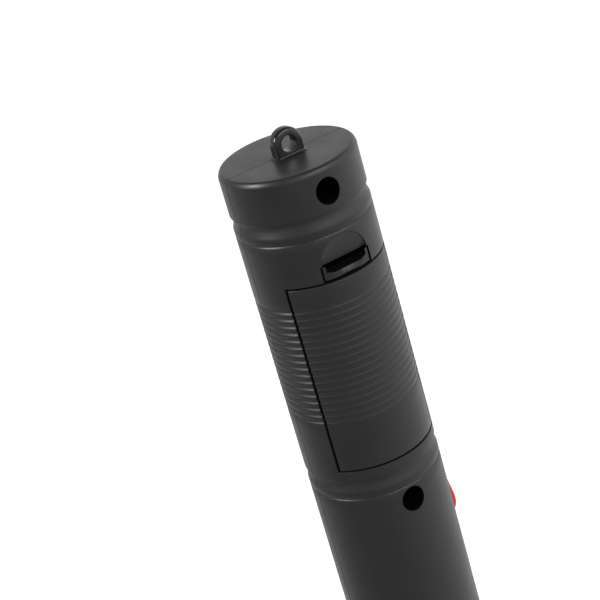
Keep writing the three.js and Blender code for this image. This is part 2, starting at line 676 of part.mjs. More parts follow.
// ---- nose: sensing sleeve, lamp and clear red tip ----
const NOSE_TOP_Z = down(COLLAR_DROP - NOSE.collarHeight);
const NOSE_STRAIGHT = 4; // of the nose below the neck, before its taper
const COLLAR_Z = down(COLLAR_DROP) + GAP;
const NOSE_END_Z = down(NECK_END_DROP + NOSE.length - TIP.length);
const NOSE_BORE_TOP = NOSE.top - NOSE.wall;
const NOSE_BORE_END = NOSE.bottom - NOSE.wall;
function noseTube() {
  const outline = [
    [NOSE_BORE_END, NOSE_END_Z],
    [NOSE.bottom, NOSE_END_Z],
    [NOSE.top, down(NECK_END_DROP + NOSE_STRAIGHT)],
    [NOSE.top, COLLAR_Z],
    [NOSE.top + NOSE.collar, COLLAR_Z],
    [NOSE.top + NOSE.collar, NOSE_TOP_Z],
    [NOSE_BORE_TOP, NOSE_TOP_Z],
    [NOSE_BORE_TOP, down(NECK_END_DROP)],
  ];
  return turned([...outline, outline[0]], 32);
}
add("nose_tube", noseTube(), FINISH.black());

const PLUG_RADIUS = NOSE_BORE_END - GAP;
const LAMP = { radius: 2.5, tip: 1.5, flange: 2.95, length: 8.6, rim: 1 };
const LAMP_BASE_Z = NOSE_END_Z + TIP.plug - LAMP.rim;
const LAMP_ROOM = LAMP.flange + GAP;
const TIP_END_Z = NOSE_END_Z - TIP.length;
function tipLens() {
  const dome = [];
  for (const share of [0, 0.25, 0.5, 0.75, 1]) {
    const angle = (share * Math.PI) / 2;
    const radius = TIP.flat + (NOSE.bottom - TIP.flat) * Math.sin(angle);
    dome.push([radius, TIP_END_Z + (TIP.length - TIP.straight) * (1 - Math.cos(angle))]);
  }
  const roof = LAMP_BASE_Z - LAMP.length - GAP;
  return turned(
    [
      [0, TIP_END_Z],
      ...dome,
      [NOSE.bottom, NOSE_END_Z - GAP],
      [PLUG_RADIUS, NOSE_END_Z - GAP],
      [PLUG_RADIUS, NOSE_END_Z + TIP.plug],
      [LAMP_ROOM, NOSE_END_Z + TIP.plug],
      [LAMP_ROOM, roof],
      [0, roof],
    ],
    32,
  );
}
add("tip_lens", tipLens(), FINISH.lens());
add(
  "lamp",
  turned(
    [
      [0, LAMP_BASE_Z - LAMP.length],
      [LAMP.tip, LAMP_BASE_Z - LAMP.length + LAMP.radius / 5],
      [LAMP.radius, LAMP_BASE_Z - LAMP.length + LAMP.radius],
      [LAMP.radius, LAMP_BASE_Z - LAMP.rim],
      [LAMP.flange, LAMP_BASE_Z - LAMP.rim],
      [LAMP.flange, LAMP_BASE_Z],
      [0, LAMP_BASE_Z],
    ],
    20,
  ),
  FINISH.lens(),
);

const SLEEVE = { wall: 0.5, length: 24, abovePlug: 3 };
const SLEEVE_END_Z = NOSE_END_Z + TIP.plug + SLEEVE.abovePlug;
const NOSE_TAPER = (NOSE_BORE_TOP - NOSE_BORE_END) / (down(NECK_END_DROP) - NOSE_END_Z);
const SLEEVE_OUTER = NOSE_BORE_END + NOSE_TAPER * (SLEEVE_END_Z - NOSE_END_Z) - GAP;
const SLEEVE_TOP_Z = SLEEVE_END_Z + SLEEVE.length;
const sleeveRing = [
  [SLEEVE_OUTER - SLEEVE.wall, SLEEVE_END_Z],
  [SLEEVE_OUTER, SLEEVE_END_Z],
  [SLEEVE_OUTER, SLEEVE_TOP_Z],
  [SLEEVE_OUTER - SLEEVE.wall, SLEEVE_TOP_Z],
];
add("sensor_sleeve", turned([...sleeveRing, sleeveRing[0]], 32), FINISH.brass());

// ---- leads, each held inside the housing all the way ----
const LEAD = { start: 3, way: 4.4, side: 7, top: 6.4, end: 6.2, y: -1.2, rise: 0.8, solder: 4 };
const leadEndY = rearFace - WIRE - GAP / 3;
for (const [name, side, material] of [
  ["battery_lead_red", -1, FINISH.redWire()],
  ["battery_lead_black", 1, FINISH.blackWire()],
]) {
  const points = [
    [side * LEAD.start, LEAD.y, SNAP_END_Z - GAP],
    [side * LEAD.way, LEAD.y, down(LOWER_BULKHEAD) + BULKHEAD.thickness],
    [side * LEAD.side, LEAD.y, down(LOWER_BULKHEAD + BULKHEAD.belowDoor)],
    [side * LEAD.side, LEAD.y, down(SECOND_SCREW_DROP)],
    [side * LEAD.top, LEAD.y + LEAD.rise, BOARD_TOP_Z],
    [side * LEAD.end, leadEndY, boardZ(LEAD.solder)],
  ];
  add(name, wire(points), material);
}
// The fine leads leave the board's foot, pass the third screw's boss and go down the nose.
const FINE_LEAD = { foot: 4, pastScrew: 3, bossY: -1, collarY: -0.4, lampX: 1.27, sensorX: 7.4 };
const fineStartY = rearFace - FINE_WIRE - GAP / 3;
const besideBoss = (x) => [x, fineStartY - PAST, down(THIRD_SCREW_DROP - FINE_LEAD.foot)];
const pastBossZ = down(THIRD_SCREW_DROP + FINE_LEAD.pastScrew);
for (const [name, x, startX] of [
  ["lamp_lead_1", -FINE_LEAD.lampX, -8.6],
  ["lamp_lead_2", FINE_LEAD.lampX, -6.6],
]) {
  const points = [
    [startX, fineStartY, BOARD_END_Z + FINE_LEAD.foot],
    besideBoss(startX),
    [startX + LEAD.rise, FINE_LEAD.bossY, pastBossZ],
    [(startX + x) / 2, FINE_LEAD.collarY, NOSE_TOP_Z + PAST],
    [x, 0, down(NECK_END_DROP)],
    [x, 0, SLEEVE_TOP_Z],
    [x, 0, LAMP_BASE_Z + GAP],
  ];
  add(name, wire(points, FINE_WIRE, 26), FINISH.redWire());
}
const sleeveMiddle = SLEEVE_OUTER - SLEEVE.wall / 2;
const sensorPoints = [
  [FINE_LEAD.sensorX, fineStartY, BOARD_END_Z + FINE_LEAD.foot],
  besideBoss(FINE_LEAD.sensorX),
  [FINE_LEAD.sensorX - FINE_LEAD.collarY, FINE_LEAD.bossY, pastBossZ],
  [(FINE_LEAD.sensorX + sleeveMiddle) / 2, FINE_LEAD.collarY, NOSE_TOP_Z + PAST],
  [sleeveMiddle, 0, down(NECK_END_DROP)],
  [sleeveMiddle, 0, SLEEVE_TOP_Z + GAP],
];
add("sensor_lead", wire(sensorPoints, FINE_WIRE, 22), FINISH.blackWire());

export default tester;
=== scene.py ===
"""Looks of a non-contact voltage tester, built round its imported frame.

Shapes are made in millimetres and turned to metres when they become pieces. The tube's axis is Z,
the battery door faces -Y, the press button +X, and a drop is a distance below the flat end face.
"""

import logging
import math
from dataclasses import dataclass, field, replace
from enum import Enum
from typing import Callable, Sequence

import bmesh
import bpy
from mathutils import Matrix, Vector


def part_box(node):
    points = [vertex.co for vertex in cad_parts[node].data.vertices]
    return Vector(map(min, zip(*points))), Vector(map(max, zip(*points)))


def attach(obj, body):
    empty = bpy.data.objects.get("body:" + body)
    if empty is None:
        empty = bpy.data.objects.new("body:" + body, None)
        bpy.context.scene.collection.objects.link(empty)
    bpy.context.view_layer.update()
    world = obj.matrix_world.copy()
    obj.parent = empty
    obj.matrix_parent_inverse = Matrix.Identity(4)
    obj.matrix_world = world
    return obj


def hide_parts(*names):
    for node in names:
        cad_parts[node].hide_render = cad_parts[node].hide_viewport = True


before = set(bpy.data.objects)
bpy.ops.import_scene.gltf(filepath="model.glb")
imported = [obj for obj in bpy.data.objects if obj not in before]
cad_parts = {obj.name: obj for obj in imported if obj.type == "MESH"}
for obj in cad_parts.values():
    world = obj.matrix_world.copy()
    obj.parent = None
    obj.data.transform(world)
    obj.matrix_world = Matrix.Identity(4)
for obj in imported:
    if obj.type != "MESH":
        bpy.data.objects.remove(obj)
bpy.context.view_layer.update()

LOG = logging.getLogger("tester")
MM = 0.001
TOP, BOTTOM = 90.0, 270.0
CLEARANCE = 0.3
# Heights between which the shells go from textured to polished.
POLISH_START, POLISH_END = -3.55, -3.2
Point = tuple[float, float]
Socket = bpy.types.NodeSocket


class Axis(Enum):
    """A direction that a rod or a prism lies along."""

    X = 0
    Y = 1
    Z = 2


class Join(Enum):
    """How one solid is put together with another."""

    ADD = "UNION"
    CUT = "DIFFERENCE"
    KEEP = "INTERSECT"


class Body(Enum):
    """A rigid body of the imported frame."""

    HOUSING = "housing"
    DOOR = "door"
    LATCH = "latch"
    BUTTON = "button"


class Pattern(Enum):
    """What a finish draws over its base."""

    PLAIN = "plain"
    POLISHED_TOP = "polished top"
    BRUSHED = "brushed"
    BANDS = "bands"
    JACKET = "jacket"
    TRACES = "traces"
    CELLS = "cells"


def box_mm(node: str) -> tuple[Vector, Vector]:
    """Lowest and highest corner of a frame node in millimetres.

    Args:
        node: Name of the node.

    Returns:
        The two corners.
    """
    low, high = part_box(node)
    return low / MM, high / MM


def middle_mm(node: str) -> Vector:
    """Middle of a frame node's box in millimetres."""
    low, high = box_mm(node)
    return (low + high) / 2


def arc(centre: Point, radii: Point, start: float, end: float, steps: int) -> list[Point]:
    """Points along part of a circle or an ellipse.

    Args:
        centre: Its middle.
        radii: Its reach in the two directions.
        start: Angle of the first point, in degrees.
        end: Angle of the last point.
        steps: Number of steps between them.

    Returns:
        The points, both ends included.
    """
    turns = [math.radians(start + (end - start) * step / steps) for step in range(steps + 1)]
    return [
        (centre[0] + radii[0] * math.cos(turn), centre[1] + radii[1] * math.sin(turn))
        for turn in turns
    ]


# ---- solids ----


class Shape:
    """A mesh that is being made, in millimetres."""

    def __init__(self, mesh: bmesh.types.BMesh | None = None) -> None:
        """Starts from a bmesh, or from nothing."""
        self.mesh = mesh or bmesh.new()

    @classmethod
    def block(cls, low: Sequence[float], high: Sequence[float]) -> "Shape":
        """A box between two corners.

        Args:
            low: Lowest corner.
            high: Highest corner.

        Returns:
            The box.
        """
        shape = cls()
        low, high = Vector(low), Vector(high)
        place = Matrix.Translation((low + high) / 2) @ Matrix.Diagonal((*(high - low), 1.0))
        bmesh.ops.create_cube(shape.mesh, size=1.0, matrix=place)
        return shape

    @classmethod
    def rod(
        cls,
        axis: Axis,
        radius: float,
        start: float,
        end: float,
        centre: Point = (0.0, 0.0),
        sides: int = 40,
        end_radius: float | None = None,
    ) -> "Shape":
        """A round bar, or a cone, along an axis.

        Args:
            axis: Direction of the bar.
            radius: Radius at its start.
            start: Where it starts along the axis.
            end: Where it ends along the axis.
            centre: Its place in the two other directions, in their order.
            sides: Number of sides.
            end_radius: Radius at its end, if it is another.

        Returns:
            The bar.
        """
        shape = cls()
        bmesh.ops.create_cone(
            shape.mesh,
            cap_ends=True,
            segments=sides,
            radius1=radius,
            radius2=radius if end_radius is None else end_radius,
            depth=end - start,
        )
        place = list(centre)
        place.insert(axis.value, (start + end) / 2)
        turns = {
            Axis.X: Matrix.Rotation(math.pi / 2, 4, "Y"),
            Axis.Y: Matrix.Rotation(-math.pi / 2, 4, "X"),
            Axis.Z: Matrix.Identity(4),
        }
        shape.mesh.transform(Matrix.Translation(place) @ turns[axis])
        return shape

    @classmethod
    def turned(cls, outline: Sequence[Point], sides: int = 64, closed: bool = False) -> "Shape":
        """A solid turned about the Z axis.

        Args:
            outline: Radius and height of each corner.
            sides: Number of steps round.
            closed: Whether the outline is a ring that doesn't touch the axis.

        Returns:
            The solid.
        """
        shape = cls()
        corners = [shape.mesh.verts.new((radius, 0, z)) for radius, z in outline]
        pairs = list(zip(corners, corners[1:]))
        if closed:
            pairs.append((corners[-1], corners[0]))
        edges = [shape.mesh.edges.new(pair) for pair in pairs]
        bmesh.ops.spin(
            shape.mesh,
            geom=corners + edges,
            cent=(0, 0, 0),
            axis=(0, 0, 1),
            angle=2 * math.pi,
            steps=sides,
            use_merge=True,
        )
        return shape.weld()

    @classmethod
    def prism(cls, axis: Axis, outline: Sequence[Point], start: float, end: float) -> "Shape":
        """A flat outline given thickness along an axis.

        Args:
            axis: Direction of the thickness.
            outline: Corners in the two other directions, in their order.
            start: Where the prism starts.
            end: Where it ends.

        Returns:
            The prism.
        """
        shape = cls()
        corners = []
        for pair in outline:
            place = list(pair)
            place.insert(axis.value, start)
            corners.append(shape.mesh.verts.new(place))
        face = shape.mesh.faces.new(corners)
        made = bmesh.ops.extrude_face_region(shape.mesh, geom=[face], use_keep_orig=True)
        reach = [0.0, 0.0, 0.0]
        reach[axis.value] = end - start
        fresh = [item for item in made["geom"] if isinstance(item, bmesh.types.BMVert)]
        bmesh.ops.translate(shape.mesh, verts=fresh, vec=reach)
        return shape.weld()

    @classmethod
    def loft(cls, rings: Sequence[Sequence[Sequence[float]]]) -> "Shape":
        """A solid through rings of corners that all have the same number of corners.

        Args:
            rings: The corners of each ring in turn, the first and last of which are flat.

        Returns:
            The solid.
        """
        shape = cls()
        loops = []
        for ring in rings:
            corners = [shape.mesh.verts.new(corner) for corner in ring]
            sides = zip(corners, corners[1:] + corners[:1])
            loops.append([shape.mesh.edges.new(side) for side in sides])
        for first, last in zip(loops, loops[1:]):
            bmesh.ops.bridge_loops(shape.mesh, edges=first + last)
        for edges in (loops[0], loops[-1]):
            bmesh.ops.contextual_create(shape.mesh, geom=edges)
        return shape.weld()

    @classmethod
    def tube(cls, points: Sequence[Sequence[float]], radius: float) -> "Shape":
        """A smooth round lead through some points.

        Args:
            points: The points it passes.
            radius: Its radius.

        Returns:
            The lead, with closed ends.
        """
        curve = bpy.data.curves.new("lead", "CURVE")
        curve.dimensions = "3D"
        curve.bevel_depth = radius
        curve.bevel_resolution = 4
        curve.resolution_u = 10
        curve.use_fill_caps = True
        spline = curve.splines.new("BEZIER")
        spline.bezier_points.add(len(points) - 1)
        for knot, point in zip(spline.bezier_points, points):
            knot.co = point
            knot.handle_left_type = knot.handle_right_type = "AUTO"
        holder = bpy.data.objects.new("lead", curve)
        bpy.context.scene.collection.objects.link(holder)
        shape = cls()
        shape._read(holder)
        bpy.data.objects.remove(holder)
        return shape.weld(0.01)

    def weld(self, distance: float = 1e-4) -> "Shape":
        """Merges points that share a place and turns every face outwards."""
        bmesh.ops.remove_doubles(self.mesh, verts=self.mesh.verts[:], dist=distance)
        bmesh.ops.dissolve_degenerate(self.mesh, edges=self.mesh.edges[:], dist=1e-5)
        bmesh.ops.recalc_face_normals(self.mesh, faces=self.mesh.faces[:])
        return self

    def move(self, step: Sequence[float]) -> "Shape":
        """Shifts the whole shape."""
        bmesh.ops.translate(self.mesh, verts=self.mesh.verts[:], vec=step)
        return self

    def turn(self, axis: Axis, angle: float, centre: Sequence[float] = (0, 0, 0)) -> "Shape":
        """Turns the whole shape by an angle in degrees."""
        matrix = Matrix.Rotation(math.radians(angle), 3, axis.name)
        bmesh.ops.rotate(self.mesh, verts=self.mesh.verts[:], cent=centre, matrix=matrix)
        return self

    def round_edges(
        self,
        width: float,
        segments: int = 3,
        sharper: float = 30.0,
        where: Callable[[Vector], bool] = lambda middle: True,
    ) -> "Shape":
        """Rounds the sharp edges.

        Args:
            width: Width of the rounding.
            segments: Its number of steps.
            sharper: The least angle between faces, in degrees, that counts as sharp.
            where: Tells from an edge's middle whether it is rounded.

        Returns:
            The same shape.
        """
        limit = math.radians(sharper)
        edges = [
            edge
            for edge in self.mesh.edges
            if len(edge.link_faces) == 2
            and edge.calc_face_angle(0.0) > limit
            and where((edge.verts[0].co + edge.verts[1].co) / 2)
        ]
        return self.bevel(edges, width, segments)

    def bevel(self, edges: list[bmesh.types.BMEdge], width: float, segments: int) -> "Shape":
        """Bevels the given edges with round sections."""
        bmesh.ops.bevel(
            self.mesh,
            geom=edges,
            offset=width,
            offset_type="OFFSET",
            segments=segments,
            profile=0.5,
            affect="EDGES",
            clamp_overlap=True,
            material=-1,
        )
        return self

    def combine(self, tool: "Shape", how: Join, inside: bool = False) -> "Shape":
        """Adds another solid, cuts it away, or keeps what both share.

        Args:
            tool: The other solid, which is used up.
            how: Which of the three.
            inside: Whether the faces that the tool leaves get the piece's second finish, the
                darker copy that paints shade into recesses.

        Returns:
            The same shape.
        """
        if inside:
            for face in tool.mesh.faces:
                face.material_index = 1
        base = self._object("base")
        other = tool._object("tool")
        modifier = base.modifiers.new("join", "BOOLEAN")
        modifier.solver = "EXACT"
        modifier.operation = how.value
        modifier.object = other
        self._read(base)
        bpy.data.objects.remove(base)
        bpy.data.objects.remove(other)
        return self

    def beside(self, *others: "Shape") -> "Shape":
        """Takes in other solids that don't touch this one."""
        for other in others:
            mesh = bpy.data.meshes.new("part")
            other.mesh.to_mesh(mesh)
            self.mesh.from_mesh(mesh)
            bpy.data.meshes.remove(mesh)
        return self

    def _object(self, name: str) -> bpy.types.Object:
        """The shape as an object in the scene."""
        mesh = bpy.data.meshes.new(name)
        self.mesh.to_mesh(mesh)
        made = bpy.data.objects.new(name, mesh)
        bpy.context.scene.collection.objects.link(made)
        return made

    def _read(self, source: bpy.types.Object) -> None:
        """Takes the mesh of an object with its modifiers applied."""
        graph = bpy.context.evaluated_depsgraph_get()
        mesh = bpy.data.meshes.new_from_object(source.evaluated_get(graph), depsgraph=graph)
        self.mesh.clear()
        self.mesh.from_mesh(mesh)
        bpy.data.meshes.remove(mesh)

    def piece(
        self,
        name: str,
        body: Body,
        finish: "Finish",
        slot: str,
        nodes: Sequence[str],
        smooth: float = 32.0,
        inside: "Finish | None" = None,
    ) -> bpy.types.Object:
        """Turns the shape into a finished piece of the model.

        Args:
            name: Name of the piece.
            body: The body it moves with.
            finish: What it is made of.
            slot: Material slot of the record.
            nodes: Frame nodes that it stands for.
            smooth: Angle in degrees below which faces shade as one.
            inside: Finish of the faces that were cut with it, if any; here the darker copy that
                paints shade into recesses.

        Returns:
            The object.
        """
        self.mesh.transform(Matrix.Scale(MM, 4))
        made = self._object(name)
        made.data.materials.append(finish.material())
        if inside:
            made.data.materials.append(inside.material())
        for polygon in made.data.polygons:
            polygon.use_smooth = True
            if not inside:
                polygon.material_index = 0
        made.data.set_sharp_from_angle(angle=math.radians(smooth))
        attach(made, body.value)
        if nodes:
            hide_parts(*nodes)
        LOG.info("%s: %d faces", name, len(made.data.polygons))
        return made


# ---- finishes ----


def linear(code: str) -> tuple[float, float, float, float]:
    """A colour's linear values.

    Args:
        code: The colour as sRGB hex, such as "1b1b1c".

    Returns:
        Red, green, blue and alpha.
    """
    values = [int(code[at : at + 2], 16) / 255 for at in (0, 2, 4)]
    made = [v / 12.92 if v <= 0.04045 else ((v + 0.055) / 1.055) ** 2.4 for v in values]
    return (*made, 1.0)


def add_node(
    tree: bpy.types.NodeTree,
    kind: str,
    values: dict[str | int, object] | None = None,
    links: dict[str | int, bpy.types.NodeSocket] | None = None,
    **settings: object,
) -> bpy.types.Node:
    """Adds a node with its settings and links.

    Args:
        tree: Where the node goes.
        kind: Blender's name of the node type.
        values: Value of each input socket that has one.
        links: Output socket that feeds each linked input.
        **settings: The node's own settings.

    Returns:
        The node.
    """
    made = tree.nodes.new(kind)
    for name, value in settings.items():
        setattr(made, name, value)
    for name, value in (values or {}).items():
        made.inputs[name].default_value = value
    for name, source in (links or {}).items():
        tree.links.new(source, made.inputs[name])
    return made


def per(size: float) -> float:
    """Texture scale that draws features of a size in millimetres."""
    return 1 / (size * MM)


def ramp(
    tree: bpy.types.NodeTree,
    value: Socket,
    start: Point,
    end: Point = (0.0, 1.0),
    **settings: object,
) -> Socket:
    """Maps one range of values to another.

    Args:
        tree: Where the node goes.
        value: What is mapped.
        start: The range it comes in.
        end: The range it leaves in.
        **settings: The node's own settings.

    Returns:
        The mapped value.
    """
    values = {"From Min": start[0], "From Max": start[1], "To Min": end[0], "To Max": end[1]}
    return add_node(tree, "ShaderNodeMapRange", values, {"Value": value}, **settings).outputs[0]


def noise(
    tree: bpy.types.NodeTree, place: Socket, size: float, detail: float, rough: float
) -> Socket:
    """Cloudy noise.

    Args:
        tree: Where the node goes.
        place: Coordinates it is drawn in.
        size: Size of its features in millimetres.
        detail: Number of finer layers.
        rough: How strong they are.

    Returns:
        The noise, from 0 to 1.
    """
    values = {"Scale": per(size), "Detail": detail, "Roughness": rough}
    return add_node(tree, "ShaderNodeTexNoise", values, {"Vector": place}).outputs[0]


def blend(
    tree: bpy.types.NodeTree,
    share: float | Socket,
    first: str | Socket,
    second: str | Socket,
) -> Socket:
    """Mixes two colours.

    Args:
        tree: Where the node goes.
        share: Share of the second colour.
        first: Colour as sRGB hex, or the socket that gives it.
        second: The other colour.

    Returns:
        The mixed colour.
    """
    values, links = {}, {}
    for index, item in ((0, share), (6, first), (7, second)):
        if isinstance(item, bpy.types.NodeSocket):
            links[index] = item
        else:
            values[index] = linear(item) if isinstance(item, str) else item
    return add_node(tree, "ShaderNodeMix", values, links, data_type="RGBA").outputs[2]


def shift(tree: bpy.types.NodeTree, share: Socket, first: Socket, second: float) -> Socket:
    """Takes a value towards a fixed one.

    Args:
        tree: Where the node goes.
        share: How far it is taken.
        first: The value.
        second: The fixed one.

    Returns:
        The value between the two.
    """
    links = {0: share, 2: first}
    return add_node(tree, "ShaderNodeMix", {3: second}, links, data_type="FLOAT").outputs[0]


def calculate(tree: bpy.types.NodeTree, operation: str, *inputs: float | Socket) -> Socket:
    """Combines values with one of the maths node's operations.

    Args:
        tree: Where the node goes.
        operation: Blender's name of the operation.
        *inputs: Values or sockets, in the node's order.

    Returns:
        The result.
    """
    values = {at: item for at, item in enumerate(inputs) if isinstance(item, float)}
    links = {at: item for at, item in enumerate(inputs) if at not in values}
    return add_node(tree, "ShaderNodeMath", values, links, operation=operation).outputs[0]


@dataclass(frozen=True)
class Finish:
    """A material and how its surface was made.

    Attributes:
        name: Common name of the material and its process.
        base: Main colour as sRGB hex.
        tint: Second colour that mottles the first.
        rough: Least and greatest roughness.
        mottle: Size of the mottling in millimetres.
        grain: Size of the surface grain in millimetres.
        relief: Height of the grain in millimetres.
        ior: Index of refraction, for what isn't a metal.
        metal: Whether it is a metal.
        clear: Share of light let through.
        soft: Subsurface weight, for soft or cloudy plastics.
        wear: Colour that scuffs show.
        pattern: What is drawn over the base.
        stripes: Heights and colours of bands, for patterns with bands.
    """

    name: str
    base: str
    tint: str
    rough: Point = (0.4, 0.5)
    mottle: float = 8.0
    grain: float = 0.3
    relief: float = 0.02
    ior: float = 1.5
    metal: bool = False
    clear: float = 0.0
    soft: float = 0.0
    wear: str = ""
    pattern: Pattern = Pattern.PLAIN
    stripes: tuple[tuple[float, str], ...] = field(default=())

    def material(self) -> bpy.types.Material:
        """The finish as a material, made once."""
        found = bpy.data.materials.get(self.name)
        return found or self._build()

    def _build(self) -> bpy.types.Material:
        """Builds the node tree.

        Returns:
            The material.
        """
        made = bpy.data.materials.new(self.name)
        made.use_nodes = True
        tree = made.node_tree
        tree.nodes.clear()
        place = add_node(tree, "ShaderNodeTexCoord").outputs["Object"]
        mottle = noise(tree, place, self.mottle, 5.0, 0.6)
        colour = blend(tree, mottle, self.base, self.tint)
        rough = ramp(tree, mottle, (0.3, 0.7), self.rough)
        height = self._relief(tree, place)
        colour, rough, height = self._pattern(tree, place, colour, rough, height)
        if self.wear:
            colour, rough = self._wear(tree, place, colour, rough)
        bump = add_node(
            tree,
            "ShaderNodeBump",
            {"Strength": 1.0, "Distance": self.relief * MM},
            {"Height": height},
        )
        shader = add_node(
            tree,
            "ShaderNodeBsdfPrincipled",
            {"Metallic": 1.0 if self.metal else 0.0, "Transmission Weight": self.clear},
            {"Base Color": colour, "Roughness": rough, "Normal": bump.outputs[0]},
        )
        if not self.metal:
            shader.inputs["IOR"].default_value = self.ior
        if self.soft:
            shader.inputs["Subsurface Weight"].default_value = self.soft
            shader.inputs["Subsurface Radius"].default_value = (2 * MM, MM, MM)
            shader.inputs["Subsurface Scale"].default_value = 0.5
        add_node(tree, "ShaderNodeOutputMaterial", {}, {"Surface": shader.outputs[0]})
        return made

    def _relief(self, tree: bpy.types.NodeTree, place: Socket) -> Socket:
        """Height of the surface grain: fine spark or rolling texture, or drawn-out lines."""
        if self.pattern is Pattern.CELLS:
            cells = {"Scale": per(self.grain)}
            made = add_node(tree, "ShaderNodeTexVoronoi", cells, {"Vector": place})
            return made.outputs["Distance"]
        if self.pattern is Pattern.BRUSHED:
            drawn = {"Scale": (1.0, 1.0, 0.08)}
            place = add_node(tree, "ShaderNodeMapping", drawn, {"Vector": place}).outputs[0]
        return noise(tree, place, self.grain, 3.0, 0.55)

    def _pattern(
        self,
        tree: bpy.types.NodeTree,
        place: Socket,
        colour: Socket,
        rough: Socket,
        height: Socket,
    ) -> tuple[Socket, Socket, Socket]:
        """Draws the finish's pattern over colour, roughness and height.

        Args:
            tree: The material's nodes.
            place: Object coordinates.
            colour: Colour so far.
            rough: Roughness so far.
            height: Height so far.

        Returns:
            The three sockets with the pattern in them.
        """
        level = add_node(tree, "ShaderNodeSeparateXYZ", {}, {0: place}).outputs["Z"]
        if self.pattern is Pattern.POLISHED_TOP:
            # The mould is polished where it makes the eye, and spark textured below it.
            top = ramp(tree, level, (POLISH_START * MM, POLISH_END * MM))
            rough = shift(tree, top, rough, 0.16)
            height = shift(tree, top, height, 0.5)
        if self.pattern in (Pattern.BANDS, Pattern.JACKET):
            colour = blend(tree, 0.85, colour, self._bands(tree, level))
        if self.pattern is Pattern.TRACES:
            # Copper tracks under the solder mask, in rows 2.5 mm apart.
            turned = {"Rotation": (math.pi / 2, 0, 0)}
            flat = add_node(tree, "ShaderNodeMapping", turned, {"Vector": place}).outputs[0]
            tracks = add_node(
                tree,
                "ShaderNodeTexBrick",
                {"Scale": per(5.0), "Mortar Size": 0.09, "Brick Width": 1.6, "Row Height": 0.5},
                {"Vector": flat},
            ).outputs["Fac"]
            colour = blend(tree, tracks, colour, "3f8f55")
            height = calculate(tree, "ADD", height, tracks)
        return colour, rough, height

    def _bands(self, tree: bpy.types.NodeTree, level: Socket) -> Socket:
        """Bands of colour that change at the heights in stripes."""
        first, last = self.stripes[0][0], self.stripes[-1][0]
        share = ramp(tree, level, (first * MM, last * MM))
        bands = add_node(tree, "ShaderNodeValToRGB", {}, {0: share})
        bands.color_ramp.interpolation = "CONSTANT"
        stops = bands.color_ramp.elements
        for index, (start, code) in enumerate(self.stripes):
            at = (start - first) / (last - first)
            stop = stops[index] if index < 2 else stops.new(at)
            stop.position = at
            stop.color = linear(code)
        return bands.outputs[0]

    def _wear(
        self, tree: bpy.types.NodeTree, place: Socket, colour: Socket, rough: Socket
    ) -> tuple[Socket, Socket]:
        """Adds a few light scuffs, drawn out as hands and pockets leave them.

        Args:
            tree: The material's nodes.
            place: Object coordinates.
            colour: Colour so far.
            rough: Roughness so far.

        Returns:
            Colour and roughness with the scuffs in them.
        """
        drawn = {"Scale": (1.0, 1.0, 0.12), "Rotation": (0.5, 0.2, 0.3)}
        slanted = add_node(tree, "ShaderNodeMapping", drawn, {"Vector": place}).outputs[0]
        streaks = noise(tree, slanted, 1.4, 6.0, 0.75)
        scuffs = ramp(tree, streaks, (0.66, 0.74), (0.0, 0.22))
        return blend(tree, scuffs, colour, self.wear), shift(tree, scuffs, rough, 0.34)


# Black ABS from a spark-eroded mould: an even satin that turns light grey at grazing angles.
SHELL = Finish(
    "ABS, black, moulded satin",
    "18181a",
    "202022",
    rough=(0.36, 0.44),
    grain=0.35,
    relief=0.012,
    wear="4a4a4c",
    pattern=Pattern.POLISHED_TOP,
)
# The barrel is moulded in the shells' ABS.
BARREL = Finish(
    "ABS, black, moulded barrel",
    "18181a",
    "202022",
    rough=(0.34, 0.42),
    grain=0.35,
    relief=0.01,
    wear="4a4a4c",
)
# A darker, nearly unreflective copy of the black ABS: painted shade for the screw wells, the latch
# pocket and the latch's finger groove and hook.
PAINTED_RECESS_SHADE = Finish(
    "ABS, black, rough from the mould's cores",
    "080809",
    "0c0c0d",
    rough=(0.8, 0.9),
    grain=0.5,
    relief=0.02,
    ior=1.06,
)
# The door comes from its own mould, a touch smoother than the shells.
DOOR = Finish(
    "ABS, black, moulded door",
    "18181a",
    "1f1f21",
    rough=(0.35, 0.43),
    grain=0.35,
    relief=0.01,
    wear="505052",
)
# The latch is acetal so that it springs: slightly waxy and smoother than ABS.
LATCH = Finish(
    "acetal, black, moulded",
    "151516",
    "1c1c1d",
    rough=(0.38, 0.46),
    grain=0.4,
    relief=0.006,
    ior=1.48,
    wear="5a5a5c",
)
BUTTON = Finish(
    "ABS, red, moulded",
    "c01410",
    "d3201a",
    rough=(0.3, 0.4),
    grain=0.4,
    relief=0.01,
    soft=0.05,
    wear="e0685c",
)
# Clear red acrylic: deep red with a bright rim where light gathers.
LENS = Finish(
    "acrylic, clear red, moulded",
    "e0281c",
    "d0180f",
    rough=(0.04, 0.09),
    mottle=12.0,
    grain=2.0,
    relief=0.01,
    ior=1.49,
    clear=0.82,
)
LAMP = Finish(
    "epoxy, clear red, cast lamp",
    "ff4433",
    "f03020",
    rough=(0.05, 0.1),
    grain=1.5,
    relief=0.006,
    ior=1.53,
    clear=0.7,
)
# Zinc-plated steel: pale, faintly blue, with rolled grain.
ZINC = Finish(
    "steel, zinc plated",
    "a9adb2",
    "8e9298",
    rough=(0.25, 0.42),
    mottle=1.2,
    grain=0.15,
    relief=0.01,
    metal=True,
)
NICKEL = Finish(
    "steel, nickel plated, pressed",
    "c4bfb4",
    "a8a398",
    rough=(0.16, 0.32),
    mottle=1.5,
    grain=0.3,
    relief=0.008,
    metal=True,
    pattern=Pattern.BRUSHED,
)
BRASS = Finish(
    "brass, rolled foil",
    "c79a45",
    "a97c30",
    rough=(0.22, 0.4),
    mottle=2.5,
    grain=0.25,
    relief=0.01,
    metal=True,
    pattern=Pattern.BRUSHED,
)
